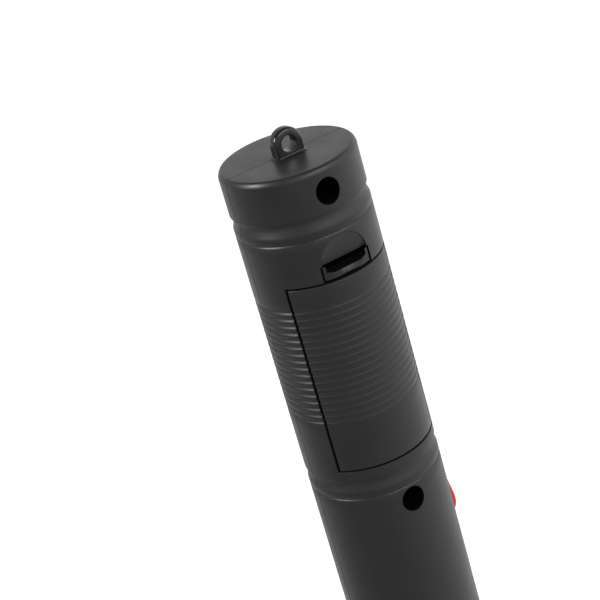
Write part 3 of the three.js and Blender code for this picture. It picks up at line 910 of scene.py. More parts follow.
# Lacquered tin plate: a metallic grey body with a teal band and a dark end, without any print.
JACKET = Finish(
    "tin plate, lacquered, battery jacket",
    "596066",
    "4c5257",
    rough=(0.24, 0.34),
    mottle=6.0,
    grain=0.3,
    relief=0.006,
    metal=True,
    wear="9aa0a4",
    pattern=Pattern.JACKET,
    stripes=((-83.0, "1c2a33"), (-70.0, "8d969b"), (-68.8, "2c6470"), (-46.0, "8d969b"),
             (-44.8, "4a5156"), (-36.0, "4a5156")),
)
VINYL = Finish(
    "PVC, black, soft moulded",
    "121213",
    "1c1c1d",
    rough=(0.5, 0.62),
    grain=0.5,
    relief=0.02,
    ior=1.53,
)
WIRE_RED = Finish(
    "PVC, red, extruded lead",
    "b4181a",
    "9c1215",
    rough=(0.38, 0.5),
    grain=0.4,
    relief=0.008,
    ior=1.53,
    pattern=Pattern.BRUSHED,
)
WIRE_BLACK = Finish(
    "PVC, black, extruded lead",
    "111112",
    "1a1a1b",
    rough=(0.38, 0.5),
    grain=0.4,
    relief=0.008,
    ior=1.53,
    pattern=Pattern.BRUSHED,
)
# Glass-epoxy board under green solder mask, with raised copper tracks.
LAMINATE = Finish(
    "glass epoxy laminate, solder masked",
    "1c5c33",
    "17502b",
    rough=(0.28, 0.38),
    mottle=5.0,
    grain=0.4,
    relief=0.03,
    ior=1.55,
    pattern=Pattern.TRACES,
)
EPOXY = Finish(
    "epoxy, black, transfer moulded",
    "1a1a1c",
    "252527",
    rough=(0.5, 0.62),
    grain=0.18,
    relief=0.012,
    ior=1.55,
)
NYLON_BLUE = Finish(
    "nylon, blue, moulded",
    "2350a8",
    "1d4594",
    rough=(0.34, 0.44),
    grain=0.4,
    relief=0.01,
    ior=1.53,
    soft=0.05,
)
# Heat-shrunk sleeve.
SLEEVE_BLUE = Finish(
    "PVC, blue, shrunk sleeve",
    "22355f",
    "2a3f6e",
    rough=(0.24, 0.34),
    grain=0.6,
    relief=0.01,
    ior=1.53,
)
# Dipped beige lacquer with colour rings.
LACQUER = Finish(
    "lacquer, beige, dipped resistor",
    "c9ab7c",
    "bd9d6c",
    rough=(0.3, 0.42),
    mottle=1.5,
    grain=0.5,
    relief=0.02,
    pattern=Pattern.BANDS,
    stripes=((-152.8, "c9ab7c"), (-151.9, "3a2a20"), (-151.4, "c9ab7c"), (-150.7, "a01c18"),
             (-150.2, "c9ab7c"), (-149.5, "c86a1e"), (-149.0, "c9ab7c"), (-147.9, "b08a3a"),
             (-147.4, "c9ab7c"), (-146.7, "c9ab7c")),
)
# Open-cell foam with pores of about a millimetre.
FOAM = Finish(
    "polyurethane, grey, open-cell foam",
    "3b3b3e",
    "2c2c2f",
    rough=(0.9, 1.0),
    mottle=1.2,
    grain=0.8,
    relief=0.35,
    pattern=Pattern.CELLS,
)
TIN = Finish(
    "tin, solder dipped legs",
    "b9bbbd",
    "9da0a3",
    rough=(0.25, 0.4),
    mottle=0.8,
    grain=0.3,
    relief=0.01,
    metal=True,
)


# ---- the tube's sizes ----


@dataclass(frozen=True)
class Tube:
    """Sizes of the moulded tube that the shells and the door share, in millimetres.

    Attributes:
        outer: Outer radius.
        end_z: Height of the flat end face.
        neck_end_z: Height of the neck's lower end.
        wall: Wall thickness.
        rim: Arcs of the end's rim: steepness at their start and end in degrees, and radius.
        grooves: Drop of each ring groove.
        groove_width: Width of a ring groove.
        groove_depth: Its depth.
        line_drop: Distance from a ring groove's start to the fine line below it.
        line_width: Width of the fine line.
        line_depth: Its depth.
        rib_start: Drop of the first rib groove.
        rib_count: Number of rib grooves.
        rib_pitch: Distance between rib grooves.
        rib_width: Width of a rib groove.
        rib_depth: Its depth.
        body_end: Drop where the shoulder starts.
        neck_top: Drop where the neck starts.
        neck_radius: Outer radius of the neck.
        neck_bore: Radius of the neck's bore.
        collar_room: Inner radius where the nose's collar sits.
        collar_top: Drop where that room starts.
        collar_drop: Drop where it ends.
        core_ring: Drop of the plain core's only ring above the shoulder.
    """

    outer: float
    end_z: float
    neck_end_z: float
    wall: float = 2.4
    rim: tuple[tuple[float, float, float], ...] = ((90, 40, 0.9), (40, 14, 2.6), (14, 0, 1.5))
    grooves: tuple[float, float] = (12.3, 91.0)
    groove_width: float = 4.0
    groove_depth: float = 0.8
    line_drop: float = 6.1
    line_width: float = 0.8
    line_depth: float = 0.24
    rib_start: float = 37.9
    rib_count: int = 17
    rib_pitch: float = 2.12
    rib_width: float = 1.5
    rib_depth: float = 0.34
    body_end: float = 160.0
    neck_top: float = 182.0
    neck_radius: float = 11.8
    neck_bore: float = 8.8
    collar_room: float = 10.4
    collar_top: float = 176.5
    collar_drop: float = 180.0
    core_ring: float = 60.0

    @classmethod
    def from_frame(cls) -> "Tube":
        """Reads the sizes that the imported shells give."""
        low, high = box_mm("front_shell")
        return cls(outer=high.y, end_z=high.z, neck_end_z=low.z)

    @property
    def inner(self) -> float:
        """Inner radius of the tube."""
        return self.outer - self.wall

    @property
    def neck_end(self) -> float:
        """Drop of the neck's lower end."""
        return self.end_z - self.neck_end_z

    def down(self, drop: float) -> float:
        """Height at a drop below the end face."""
        return self.end_z - drop

    def depth(self, drop: float) -> float:
        """How far grooves and ribs take the skin inside the full radius.

        Args:
            drop: Where, below the end face.

        Returns:
            The depth.
        """
        for groove in self.grooves:
            share = (drop - groove) / self.groove_width
            if 0 < share < 1:
                return self.groove_depth * math.sin(math.pi * share**0.5)
            line = abs(drop - groove - self.line_drop) * 2 / self.line_width
            if line < 1:
                return self.line_depth * (1 + math.cos(math.pi * line)) / 2
        nearest = round((drop - self.rib_start) / self.rib_pitch)
        if 0 <= nearest < self.rib_count:
            off = abs(drop - self.rib_start - nearest * self.rib_pitch) * 2 / self.rib_width
            if off < 1:
                return self.rib_depth * (1 + math.cos(math.pi * off)) / 2
        return 0.0

    def radius(self, drop: float) -> float:
        """Outer radius at a drop, without the rim's rounding."""
        if drop <= self.body_end:
            return self.outer - self.depth(drop)
        share = min(1.0, (drop - self.body_end) / (self.neck_top - self.body_end))
        swing = (1 + math.cos(math.pi * share)) / 2
        return self.neck_radius + (self.outer - self.neck_radius) * swing

    def stations(self, start: float, end: float) -> list[float]:
        """Drops at which the skin gets a ring of points.

        Args:
            start: First drop.
            end: Last drop.

        Returns:
            The drops in order.
        """
        marks = {start, end}
        for groove in self.grooves:
            marks.update(
                groove + self.groove_width * share
                for share in (0, 0.03, 0.08, 0.15, 0.25, 0.36, 0.48, 0.6, 0.72, 0.84, 0.93, 1)
            )
            line = groove + self.line_drop
            steps = (-1, -0.6, -0.3, 0, 0.3, 0.6, 1)
            marks.update(line + self.line_width / 2 * at for at in steps)
        for index in range(self.rib_count):
            middle = self.rib_start + index * self.rib_pitch
            steps = (-1, -0.66, -0.33, 0, 0.33, 0.66, 1)
            marks.update(middle + self.rib_width / 2 * at for at in steps)
        marks.update(self.body_end + 1.5 * step for step in range(15))
        marks.update((self.collar_top, self.collar_drop, self.collar_drop + 0.1, self.neck_top))
        marks = sorted(mark for mark in marks if start <= mark <= end)
        spread = [marks[0]]
        for mark in marks[1:]:
            count = max(1, math.ceil((mark - spread[-1]) / 3.0))
            first = spread[-1]
            spread.extend(first + (mark - first) * step / count for step in range(1, count + 1))
        return spread

    def skin(self, start: float, end: float) -> list[Point]:
        """Outline of the skin between two drops, as radius and height."""
        return [(self.radius(drop), self.down(drop)) for drop in self.stations(start, end)]

    def cap(self) -> list[Point]:
        """Outline of the flat end and its rounded rim, from the axis outwards."""
        x, z = self.outer - self.rim_reach()[0], self.end_z
        points = [(x * share, z) for share in (0, 0.25, 0.5, 0.75, 1)]
        for start, end, radius in self.rim:
            turn = math.radians(start)
            centre = (x - radius * math.cos(turn), z - radius * math.sin(turn))
            points += arc(centre, (radius, radius), start, end, 5)[1:]
            x, z = points[-1]
        return points

    def rim_reach(self) -> Point:
        """How far the rim's rounding reaches inwards and down."""
        across = down = 0.0
        for start, end, radius in self.rim:
            first, last = math.radians(start), math.radians(end)
            across += radius * (math.cos(last) - math.cos(first))
            down += radius * (math.sin(first) - math.sin(last))
        return across, down

    def inside(self, point: Vector) -> Vector:
        """Point of the inner wall that belongs to a point of the skin.

        Args:
            point: The skin's point.

        Returns:
            The inner wall's point.
        """
        radius = math.hypot(point.x, point.y)
        drop = self.end_z - point.z
        if drop <= self.body_end:
            room = self.inner
        elif drop < self.collar_top:
            room = max(radius - self.wall, self.collar_room)
        elif drop <= self.collar_drop + 0.05:
            room = self.collar_room
        else:
            room = self.neck_bore
        share = min(1.0, room / radius) if radius else 1.0
        return Vector((point.x * share, point.y * share, min(point.z, self.end_z - self.wall)))

    def sweep(
        self,
        outline: Sequence[Point],
        stops: Sequence[float],
        step: float = 2.0,
    ) -> Shape:
        """Turns an outline about the tube's axis from one angle through others.

        Args:
            outline: Radius and height of each point.
            stops: Angles in degrees that get a column of points, the first and last included.
            step: Greatest angle between columns.

        Returns:
            The skin as an open sheet.
        """
        shape = Shape()
        mesh = shape.mesh
        angle = math.radians(stops[0])
        corners = [
            mesh.verts.new((radius * math.cos(angle), radius * math.sin(angle), z))
            for radius, z in outline
        ]
        row = corners + [mesh.edges.new(pair) for pair in zip(corners, corners[1:])]
        for first, last in zip(stops, stops[1:]):
            made = bmesh.ops.spin(
                mesh,
                geom=row,
                cent=(0, 0, 0),
                axis=(0, 0, 1),
                angle=math.radians(last - first),
                steps=max(1, math.ceil((last - first) / step)),
            )
            row = made["geom_last"]
        bmesh.ops.remove_doubles(mesh, verts=mesh.verts[:], dist=1e-4)
        return shape

    def thicken(self, skin: Shape, edge: float) -> Shape:
        """Gives a sheet its wall and rounds the outer edges of its openings.

        Args:
            skin: The sheet.
            edge: Width of the rounding.

        Returns:
            The walled solid.
        """
        mesh = skin.mesh
        borders = [item for item in mesh.edges if item.is_boundary]
        made = bmesh.ops.extrude_face_region(mesh, geom=mesh.faces[:], use_keep_orig=True)
        for item in made["geom"]:
            if isinstance(item, bmesh.types.BMVert):
                item.co = self.inside(item.co)
        kept = [item for item in borders if item.is_valid]
        bmesh.ops.recalc_face_normals(mesh, faces=mesh.faces[:])
        skin.bevel(kept, edge, 3)
        bmesh.ops.dissolve_degenerate(mesh, edges=mesh.edges[:], dist=1e-4)
        return skin.weld(1e-4)

    def core(self, inset: float) -> Shape:
        """The tube as a plain solid, a little inside its skin, to trim what is joined to it."""
        drops = [self.core_ring, *(self.body_end + 2 * step for step in range(12))]
        outline = [(0.0, self.down(1.0)), (self.outer - inset, self.down(1.0))]
        outline += [(self.radius(drop + 0.001) - inset, self.down(drop)) for drop in drops]
        outline.append((0.0, outline[-1][1]))
        return Shape.turned(outline, 48)


# ---- housing ----


@dataclass
class Housing:
    """The two moulded half shells, the screws that join them, and the lanyard eye.

    Attributes:
        tube: Sizes of the tube.
        door_half_angle: Half of the door opening's angle, in degrees.
        door_top: Drop of the opening's upper end.
        door_bottom: Drop of its lower end.
        scoop_radius: Radius of the thumb scoop.
        scoop_floor: How far its floor lies inside the tube's radius at the slot.
        scoop_shallow: How far it does at the top.
        slot_drop: Drop of the scoop's lower edge.
        screw_drops: Drop of each screw.
        well: Radius of the wells over the screws.
        boss: Outer radius of the screw bosses.
        screw_seat: Distance of the screws' seats from the seam.
        shank_room: Radius of the holes for their shanks.
        latch_room: Half the width of the slot that the latch works in.
        seam: Distance between the shells.
        eye_outer: Outer radius of the lanyard eye.
        eye_bore: Radius of its hole.
        eye_thickness: Its thickness.
        plate: Thickness of the scoop's floor.
        wall_thickness: Thickness of the walls across the tube.
        wall_gap: Distance from the opening to the wall above it.
        lower_gap: Distance from the opening to the wall below it.
        post: Radius of the posts under the circuit board.
        pilot: Radius of the holes for the board's screws.
        sound_pitch: Distance between the sound slots.
        sound_half: Half the length of a sound slot.
    """

    tube: Tube
    door_half_angle: float = 57.2
    door_top: float = 30.8
    door_bottom: float = 88.1
    scoop_radius: float = 7.1
    scoop_floor: float = 2.3
    scoop_shallow: float = 0.15
    slot_drop: float = 26.3
    screw_drops: tuple[float, float, float] = (6.9, 101.7, 165.85)
    well: float = 3.4
    boss: float = 4.85
    screw_seat: float = 6.0
    shank_room: float = 1.75
    latch_room: float = 7.6
    seam: float = 0.1
    eye_outer: float = 4.35
    eye_bore: float = 2.2
    eye_thickness: float = 3.8
    plate: float = 1.7
    wall_thickness: float = 1.8
    wall_gap: float = 1.0
    lower_gap: float = 3.2
    post: float = 2.7
    pilot: float = 1.05
    sound_pitch: float = 3.2
    sound_half: float = 5.0

    def half(self, front: bool) -> Shape:
        """One half of the tube with its wall.

        Args:
            front: Whether it is the half that faces +Y.

        Returns:
            The walled half.
        """
        tube = self.tube
        outline = tube.cap() + tube.skin(tube.rim_reach()[1], self.door_top)[1:]
        outline += tube.skin(self.door_top, self.door_bottom)[1:]
        outline += tube.skin(self.door_bottom, tube.neck_end - 0.5)[1:]
        for inward, short in ((0.15, 0.15), (0.5, 0.0)):
            outline.append((tube.neck_radius - inward, tube.down(tube.neck_end - short)))
        if front:
            skin = tube.sweep(outline, (0.0, 180.0))
        else:
            left, right = BOTTOM - self.door_half_angle, BOTTOM + self.door_half_angle
            skin = tube.sweep(outline, (180.0, left, right, 360.0))
            self._open_door(skin, left, right)
        side = 1 if front else -1
        return tube.thicken(skin, 0.1).move((0, side * self.seam / 2, 0))

    def _open_door(self, skin: Shape, left: float, right: float) -> None:
        """Takes the door's opening out of the rear skin."""
        doomed = []
        for face in skin.mesh.faces:
            middle = face.calc_center_median()
            angle = math.degrees(math.atan2(middle.y, middle.x)) % 360
            drop = self.tube.end_z - middle.z
            if left < angle < right and self.door_top < drop < self.door_bottom:
                doomed.append(face)
        bmesh.ops.delete(skin.mesh, geom=doomed, context="FACES")

    def _bosses(self, radius: float, side: int) -> Shape:
        """The posts that hold the shell screws, trimmed to the tube."""
        start, end = sorted((side * self.seam / 2, side * (self.tube.outer + 1)))
        posts = Shape()
        for drop in self.screw_drops:
            centre = (0, self.tube.down(drop))
            posts.beside(Shape.rod(Axis.Y, radius, start, end, centre))
        return posts.combine(self.tube.core(0.5), Join.KEEP)

    def _bulkheads(self, side: int) -> Shape:
        """The two walls across the tube at the ends of the battery room."""
        tube = self.tube
        walls = Shape()
        lower = self.door_bottom + self.lower_gap
        for drop in (self.door_top - self.wall_gap, lower):
            start = tube.down(drop + self.wall_thickness)
            walls.beside(Shape.rod(Axis.Z, tube.inner + 1.0, start, tube.down(drop), sides=72))
        reach = tube.outer + 2
        near, far = sorted((side * self.seam / 2, side * reach))
        half = Shape.block((-reach, near, tube.down(tube.body_end)), (reach, far, 0))
        walls.combine(half, Join.KEEP)
        lead_way = Shape.block((-9, -4, tube.down(lower + 3)), (9, 4, tube.down(lower - 1)))
        return walls.combine(lead_way.round_edges(1.0), Join.CUT)

    def _button_way(self) -> Shape:
        """The opening at the seam that the press button shows through."""
        low, high = box_mm("press_button")
        inset = PressButton.flange - CLEARANCE
        width = high.y - inset
        start = (self.tube.inner - 4, -width, low.z + inset)
        end = (self.tube.outer + 4, width, high.z - inset)
        return Shape.block(start, end).round_edges(1.2, 4, where=lambda at: abs(at.x) < 22)

    def _eye(self) -> Shape:
        """The lanyard eye: a thick loop with rounded edges on a flared foot."""
        tube = self.tube
        back = -self.seam / 2
        floor = tube.end_z - 0.8
        loop_edge = arc((0.0, 0.0), (self.eye_outer, self.eye_outer), 0, 180, 20)
        outline = [(self.eye_outer, floor), *loop_edge, (-self.eye_outer, floor)]
        loop = Shape.prism(Axis.Y, outline, -self.eye_thickness, back)
        bore = Shape.rod(Axis.Y, self.eye_bore, -self.eye_thickness - 1, 1, sides=48)
        loop.combine(bore, Join.CUT)
        middle = (self.eye_outer + self.eye_bore) / 2
        loop.round_edges(1.15, 8, where=lambda at: at.z > floor + 0.1 and at.xz.length > middle)
        loop.round_edges(0.25, 4, where=lambda at: at.xz.length < middle)
        return loop.combine(self._foot(), Join.ADD)

    def _foot(self) -> Shape:
        """The hollow flare where the eye meets the end face."""
        tube = self.tube
        flare = ((0.75, -0.3), (0.75, 0.02), (0.4, 0.15), (0.14, 0.34), (0.02, 0.6), (-0.2, 0.62))
        back = -self.seam / 2
        corner = 0.8
        rings = []
        for spread, rise in flare:
            x = self.eye_outer + spread
            y = -self.eye_thickness - spread
            z = tube.end_z + rise
            ring = [(-x, back), (-x, y + corner), (-x + corner, y)]
            ring += [(-across, along) for across, along in reversed(ring)]
            rings.append([(across, along, z) for across, along in ring])
        return Shape.loft(rings)

    def build_rear(self) -> bpy.types.Object:
        """Builds the rear shell, with the eye, the scoop and the door's opening."""
        tube = self.tube
        shell = self.half(front=False)
        floor_y = -tube.outer + self.scoop_floor
        backing = self._scoop(floor_y, floor_y + self.plate, tube.wall)
        backing.combine(tube.core(0.5), Join.KEEP)
        shell.combine(self._bosses(self.boss, -1), Join.ADD)
        shell.combine(self._bulkheads(-1).beside(backing), Join.ADD)
        cuts = Shape()
        for drop in self.screw_drops:
            cuts.beside(self._well(drop))
        # The wells' walls get the darker finish that paints shade into them.
        shell.combine(cuts, Join.CUT, inside=True)
        thumb = self._scoop(-tube.outer - 1, floor_y, 0.0, rounded=0.3)
        slope = (self.scoop_floor - self.scoop_shallow) / self.scoop_radius
        top = tube.down(self.slot_drop)
        for vert in thumb.mesh.verts:
            vert.co.y -= slope * (vert.co.z - top)
        shell.combine(thumb.beside(self._button_way()), Join.CUT)
        pocket = Shape.block(
            (-self.latch_room, -tube.outer - 1, tube.down(self.door_top) - 1),
            (self.latch_room, floor_y + 5.7, top + 0.01),
        )
        # The latch pocket's walls get the same painted shade.
        shell.combine(pocket, Join.CUT, inside=True)
        shell.combine(self._eye(), Join.ADD)
        return shell.piece(
            "rear_half", Body.HOUSING, SHELL, "shell_plastic", ["rear_shell"], inside=PAINTED_RECESS_SHADE
        )

    def _well(self, drop: float) -> Shape:
        """What is cut away over a shell screw and for its shank."""
        tube = self.tube
        skin, well = tube.radius(drop), self.well
        outline = [(0, tube.outer + 1), (well + 0.1, tube.outer + 1)]
        if drop < tube.body_end:
            # Where the tube is straight, the well's mouth has a small chamfer.
            outline = [(0, skin + 1), (well + 1.35, skin + 1), (well + 0.35, skin)]
            outline += [(well + 0.1, skin - 0.35), (well, skin - 0.7)]
        outline += [(well - 0.1, self.screw_seat), (0, self.screw_seat)]
        room = Shape.turned(outline, 48).turn(Axis.X, TOP).move((0, 0, tube.down(drop)))
        centre = (0, tube.down(drop))
        shank = Shape.rod(Axis.Y, self.shank_room, -self.screw_seat - 1, 1, centre, 24)
        return room.combine(shank, Join.ADD)

    def _scoop(self, start: float, end: float, grow: float, rounded: float = 0.0) -> Shape:
        """The half-round block that the thumb scoop is cut with, or its backing.

        Args:
            start: Its outer end along Y.
            end: Its inner end along Y.
            grow: How much larger its radius is.
            rounded: Rounding of the floor's rim.

        Returns:
            The block.
        """
        z = self.tube.down(self.slot_drop)
        radius = self.scoop_radius + grow
        shape = Shape.prism(Axis.Y, arc((0, z), (radius, radius), 0, 180, 36), start, end)
        if rounded:
            shape.round_edges(
                rounded, 4, where=lambda at: abs(at.y - end) < 0.01 and at.z > z + 0.01
            )
        return shape

    def build_front(self) -> bpy.types.Object:
        """Builds the front shell, with its screw posts and sound slots."""
        tube = self.tube
        shell = self.half(front=True)
        shell.combine(self._bosses(self.boss - 0.6, 1), Join.ADD)
        shell.combine(self._bulkheads(1), Join.ADD)
        posts, cuts = Shape(), Shape()
        for drop in self.screw_drops:
            cuts.beside(Shape.rod(Axis.Y, self.shank_room, -1, 14, (0, tube.down(drop)), 24))
        for index in (1, 2):
            node = f"board_screw_{index}"
            middle, end = middle_mm(node), box_mm(node)[1].y + 1
            centre = (middle.x, middle.z)
            posts.beside(Shape.rod(Axis.Y, self.post, 3.4, tube.outer, centre, 32))
            cuts.beside(Shape.rod(Axis.Y, self.pilot, 0, end, centre, 20))
        shell.combine(posts.combine(tube.core(0.5), Join.KEEP), Join.ADD)
        reach = self.sound_half
        for row in (-1, 0, 1):
            z = middle_mm("buzzer").z + self.sound_pitch * row
            slot = Shape.block((-reach, tube.inner - 3, z - 0.6), (reach, tube.outer + 1, z + 0.6))
            cuts.beside(slot.round_edges(0.55, 4, where=lambda at: abs(abs(at.x) - reach) < 0.01))
        cuts.beside(self._button_way())
        shell.combine(cuts, Join.CUT)
        return shell.piece("front_half", Body.HOUSING, SHELL, "shell_plastic", ["front_shell"])

    def build_screws(self) -> None:
        """Builds the three shell screws."""
        screw = Screw(head=2.8, head_height=2.2, shank=1.45, socket=1.0)
        for index in (1, 2, 3):
            screw.build(f"housing_screw_{index}", f"shell_screw_{index}")


@dataclass
class Screw:
    """A pan-head screw with a hex socket that goes in along +Y.

    Attributes:
        head: Head radius.
        head_height: Head height.
        shank: Radius over the thread.
        socket: Radius of the socket over its corners.
        pitch: Distance between turns of the thread.
        root: Radius at the thread's root, as a share of the shank's.
    """

    head: float
    head_height: float
    shank: float
    socket: float
    pitch: float = 1.1
    root: float = 0.74

    def build(self, name: str, node: str) -> bpy.types.Object:
        """Builds the screw where its frame node is.

        Args:
            name: Name of the piece.
            node: The node it stands for.

        Returns:
            The piece.
        """
        low, high = box_mm(node)
        length = high.y - low.y
        head, tall, shank = self.head, self.head_height, self.shank
        root = shank * self.root
        outline = [(0.0, 0.0), (head * 0.72, 0.0)]
        outline += arc((head * 0.72, tall * 0.45), (head * 0.28, tall * 0.45), -70, -10, 3)
        outline += [(head, tall * 0.9), (head * 0.95, tall), (shank, tall)]
        along = tall + 0.4
        while along + self.pitch < length - 1.6:
            outline += [(root, along), (root, along + self.pitch * 0.5)]
            outline.append((shank, along + self.pitch * 0.75))
            outline.append((shank * 0.98, along + self.pitch * 0.82))
            along += self.pitch
        outline += [(root, along), (shank * 0.7, length - 1.2), (0.0, length)]
        screw = Shape.turned(outline, 32)
        screw.combine(Shape.rod(Axis.Z, self.socket, -1, tall * 0.55, sides=6), Join.CUT)
        middle = (low + high) / 2
        screw.turn(Axis.X, -TOP).move((middle.x, low.y, middle.z))
        return screw.piece(name, Body.HOUSING, ZINC, "screw_steel", [node])


# ---- door, latch and pad ----


@dataclass
class Door:
    """The battery door, its spring latch and the foam pad behind it.

    Attributes:
        housing: The housing that it closes.
        half_angle: Half of the door's angle in degrees.
        rail_x: Distance of the pad's rails from the middle.
        rail_half: Half the thickness of a rail.
        tongue_half: Half the width of the tongue.
        tongue_reach: How far the tongue reaches below the panel.
        tongue_thickness: Thickness of the tongue.
        latch_drop: Drop of the latch's upper end.
        tab_drop: Drop of the finger groove's floor.
        tab_height: Height of the tab below that floor.
        tab_proud: How far its face stands out from the frame's latch.
        tab_back: Where the tab ends inside, along Y.
        lip: Radius of the cheeks' upper edge.
        cheek: Width of each cheek.
        leaf: Thickness of the hook and of the spring leaf.
    """

    housing: Housing
    half_angle: float = 54.9
    rail_x: float = 8.0
    rail_half: float = 0.8
    tongue_half: float = 4.0
    tongue_reach: float = 2.3
    tongue_thickness: float = 1.6
    latch_drop: float = 26.7
    tab_drop: float = 27.6
    tab_height: float = 2.9
    tab_proud: float = 0.3
    tab_back: float = -13.4
    lip: float = 0.9
    cheek: float = 1.0
    leaf: float = 1.2

    def build_panel(self) -> bpy.types.Object:
        """Builds the ribbed door with its pad rails and its tongue."""
        tube = replace(self.housing.tube, rib_depth=0.2, rib_width=1.3)
        low, high = box_mm("battery_door")
        top = tube.end_z - high.z + 0.12
        bottom = tube.end_z - low.z - self.tongue_reach
        foot = tube.down(bottom)
        outline = tube.skin(top, bottom)
        skin = tube.sweep(outline, (BOTTOM - self.half_angle, BOTTOM + self.half_angle))
        panel = tube.thicken(skin, 0.24)
        pad_face = box_mm("battery_pad")[0].y - CLEARANCE
        rails = Shape()
        for x in (-self.rail_x, self.rail_x):
            start = (x - self.rail_half, -tube.inner + 0.6, foot + 8)
            rail = Shape.block(start, (x + self.rail_half, pad_face, high.z - 12))
            rails.beside(rail.round_edges(0.3, 2))
        panel.combine(rails, Join.ADD)
        half = self.tongue_half
        near = -math.sqrt(tube.inner**2 - half**2) + CLEARANCE
        tongue = Shape.block((-half, near, low.z), (half, near + self.tongue_thickness, foot + 4))
        tongue.round_edges(0.4, 2)
        root_half = half - 0.1
        start = (-root_half, -tube.inner - 0.5, foot + 1)
        root = Shape.block(start, (root_half, near + self.tongue_thickness - 0.1, foot + 3.9))
        panel.combine(tongue.combine(root, Join.ADD), Join.ADD)
        return panel.piece("door_panel", Body.DOOR, DOOR, "door_plastic", ["battery_door"])

    def build_latch(self) -> bpy.types.Object:
        """Builds the latch: a finger groove between two cheeks, a hook and a spring leaf."""
        low, high = box_mm("door_latch")
        tube, half, lip, back = self.housing.tube, high.x, self.lip, self.tab_back
        top, floor = tube.down(self.latch_drop), tube.down(self.tab_drop)
        bottom, face = floor - self.tab_height, low.y - self.tab_proud
        cheek = [(back, bottom), (face + 0.35, bottom), (face, bottom + 0.3), (face, floor)]
        cheek += arc((face + lip, floor), (lip, lip), 160, 100, 3)
        cheek += [(face + lip, top), (back, top)]
        latch = Shape.prism(Axis.X, cheek, 0.15 - half, half - 0.15)
        # The lower edge follows the round of the tube; the finger edge above it is straight.
        latch.combine(Shape.rod(Axis.Z, -face, bottom - 1, top + 1, sides=160), Join.KEEP)
        latch.round_edges(0.2, 3, sharper=40)
        span, ridge, edge = half - self.cheek, floor - 1.25, face + 0.45
        columns = []
        steps = 16
        for step in range(steps + 1):
            x = span * (2 * step / steps - 1)
            rounded = -math.sqrt(face**2 - x**2)
            column = [(face - 1, top + 1), (face - 1, bottom + 0.3), (rounded, bottom + 0.3)]
            column += [(edge, ridge), (edge, top + 1)]
            columns.append([(x, *pair) for pair in column])
        latch.combine(Shape.loft(columns), Join.CUT)
        groove = [(face - 1, top + 1), (face - 1, ridge), (edge, ridge), (edge + 1.4, floor)]
        groove += [(back + 2, floor), (back + 2, top + 1)]
        # The finger groove's faces get the darker finish that paints shade into it.
        latch.combine(Shape.prism(Axis.X, groove, -span, span), Join.CUT, inside=True)
        hook_y = -tube.outer + self.housing.scoop_floor + self.housing.plate + CLEARANCE
        leaf_y = hook_y + 0.8
        rear = leaf_y + self.leaf
        hook_half, leaf_half = half - 2.4, half - self.leaf
        hook = Shape.block((-hook_half, hook_y, floor - 1), (hook_half, rear, high.z))
        leaf = Shape.block((-leaf_half, leaf_y, low.z), (leaf_half, rear, bottom + 1.5))
        # The hook's faces, seen through the slot, get the same painted shade.
        latch.combine(hook.round_edges(0.25, 2), Join.ADD, inside=True)
        latch.combine(leaf.round_edges(0.3, 2), Join.ADD)
        return latch.piece(
            "latch_tab", Body.LATCH, LATCH, "door_plastic", ["door_latch"], inside=PAINTED_RECESS_SHADE
        )

    def build_pad(self) -> bpy.types.Object:
        """Builds the foam pad, crowned a little where it presses on the battery."""
        low, high = box_mm("battery_pad")
        pad = Shape.block(low, high)
        bmesh.ops.subdivide_edges(pad.mesh, edges=pad.mesh.edges[:], cuts=9, use_grid_fill=True)
        middle = middle_mm("battery_pad")
        for vert in pad.mesh.verts:
            across = (vert.co.x - middle.x) / (high.x - middle.x)
            along = (vert.co.z - middle.z) / (high.z - middle.z)
            if vert.co.y > middle.y:
                vert.co.y -= 0.45 * max(abs(across), abs(along)) ** 4
        pad.round_edges(0.35, 3)
        made = pad.piece("foam_pad", Body.DOOR, FOAM, "pad_foam", ["battery_pad"])
        return made


# ---- press button and switch ----


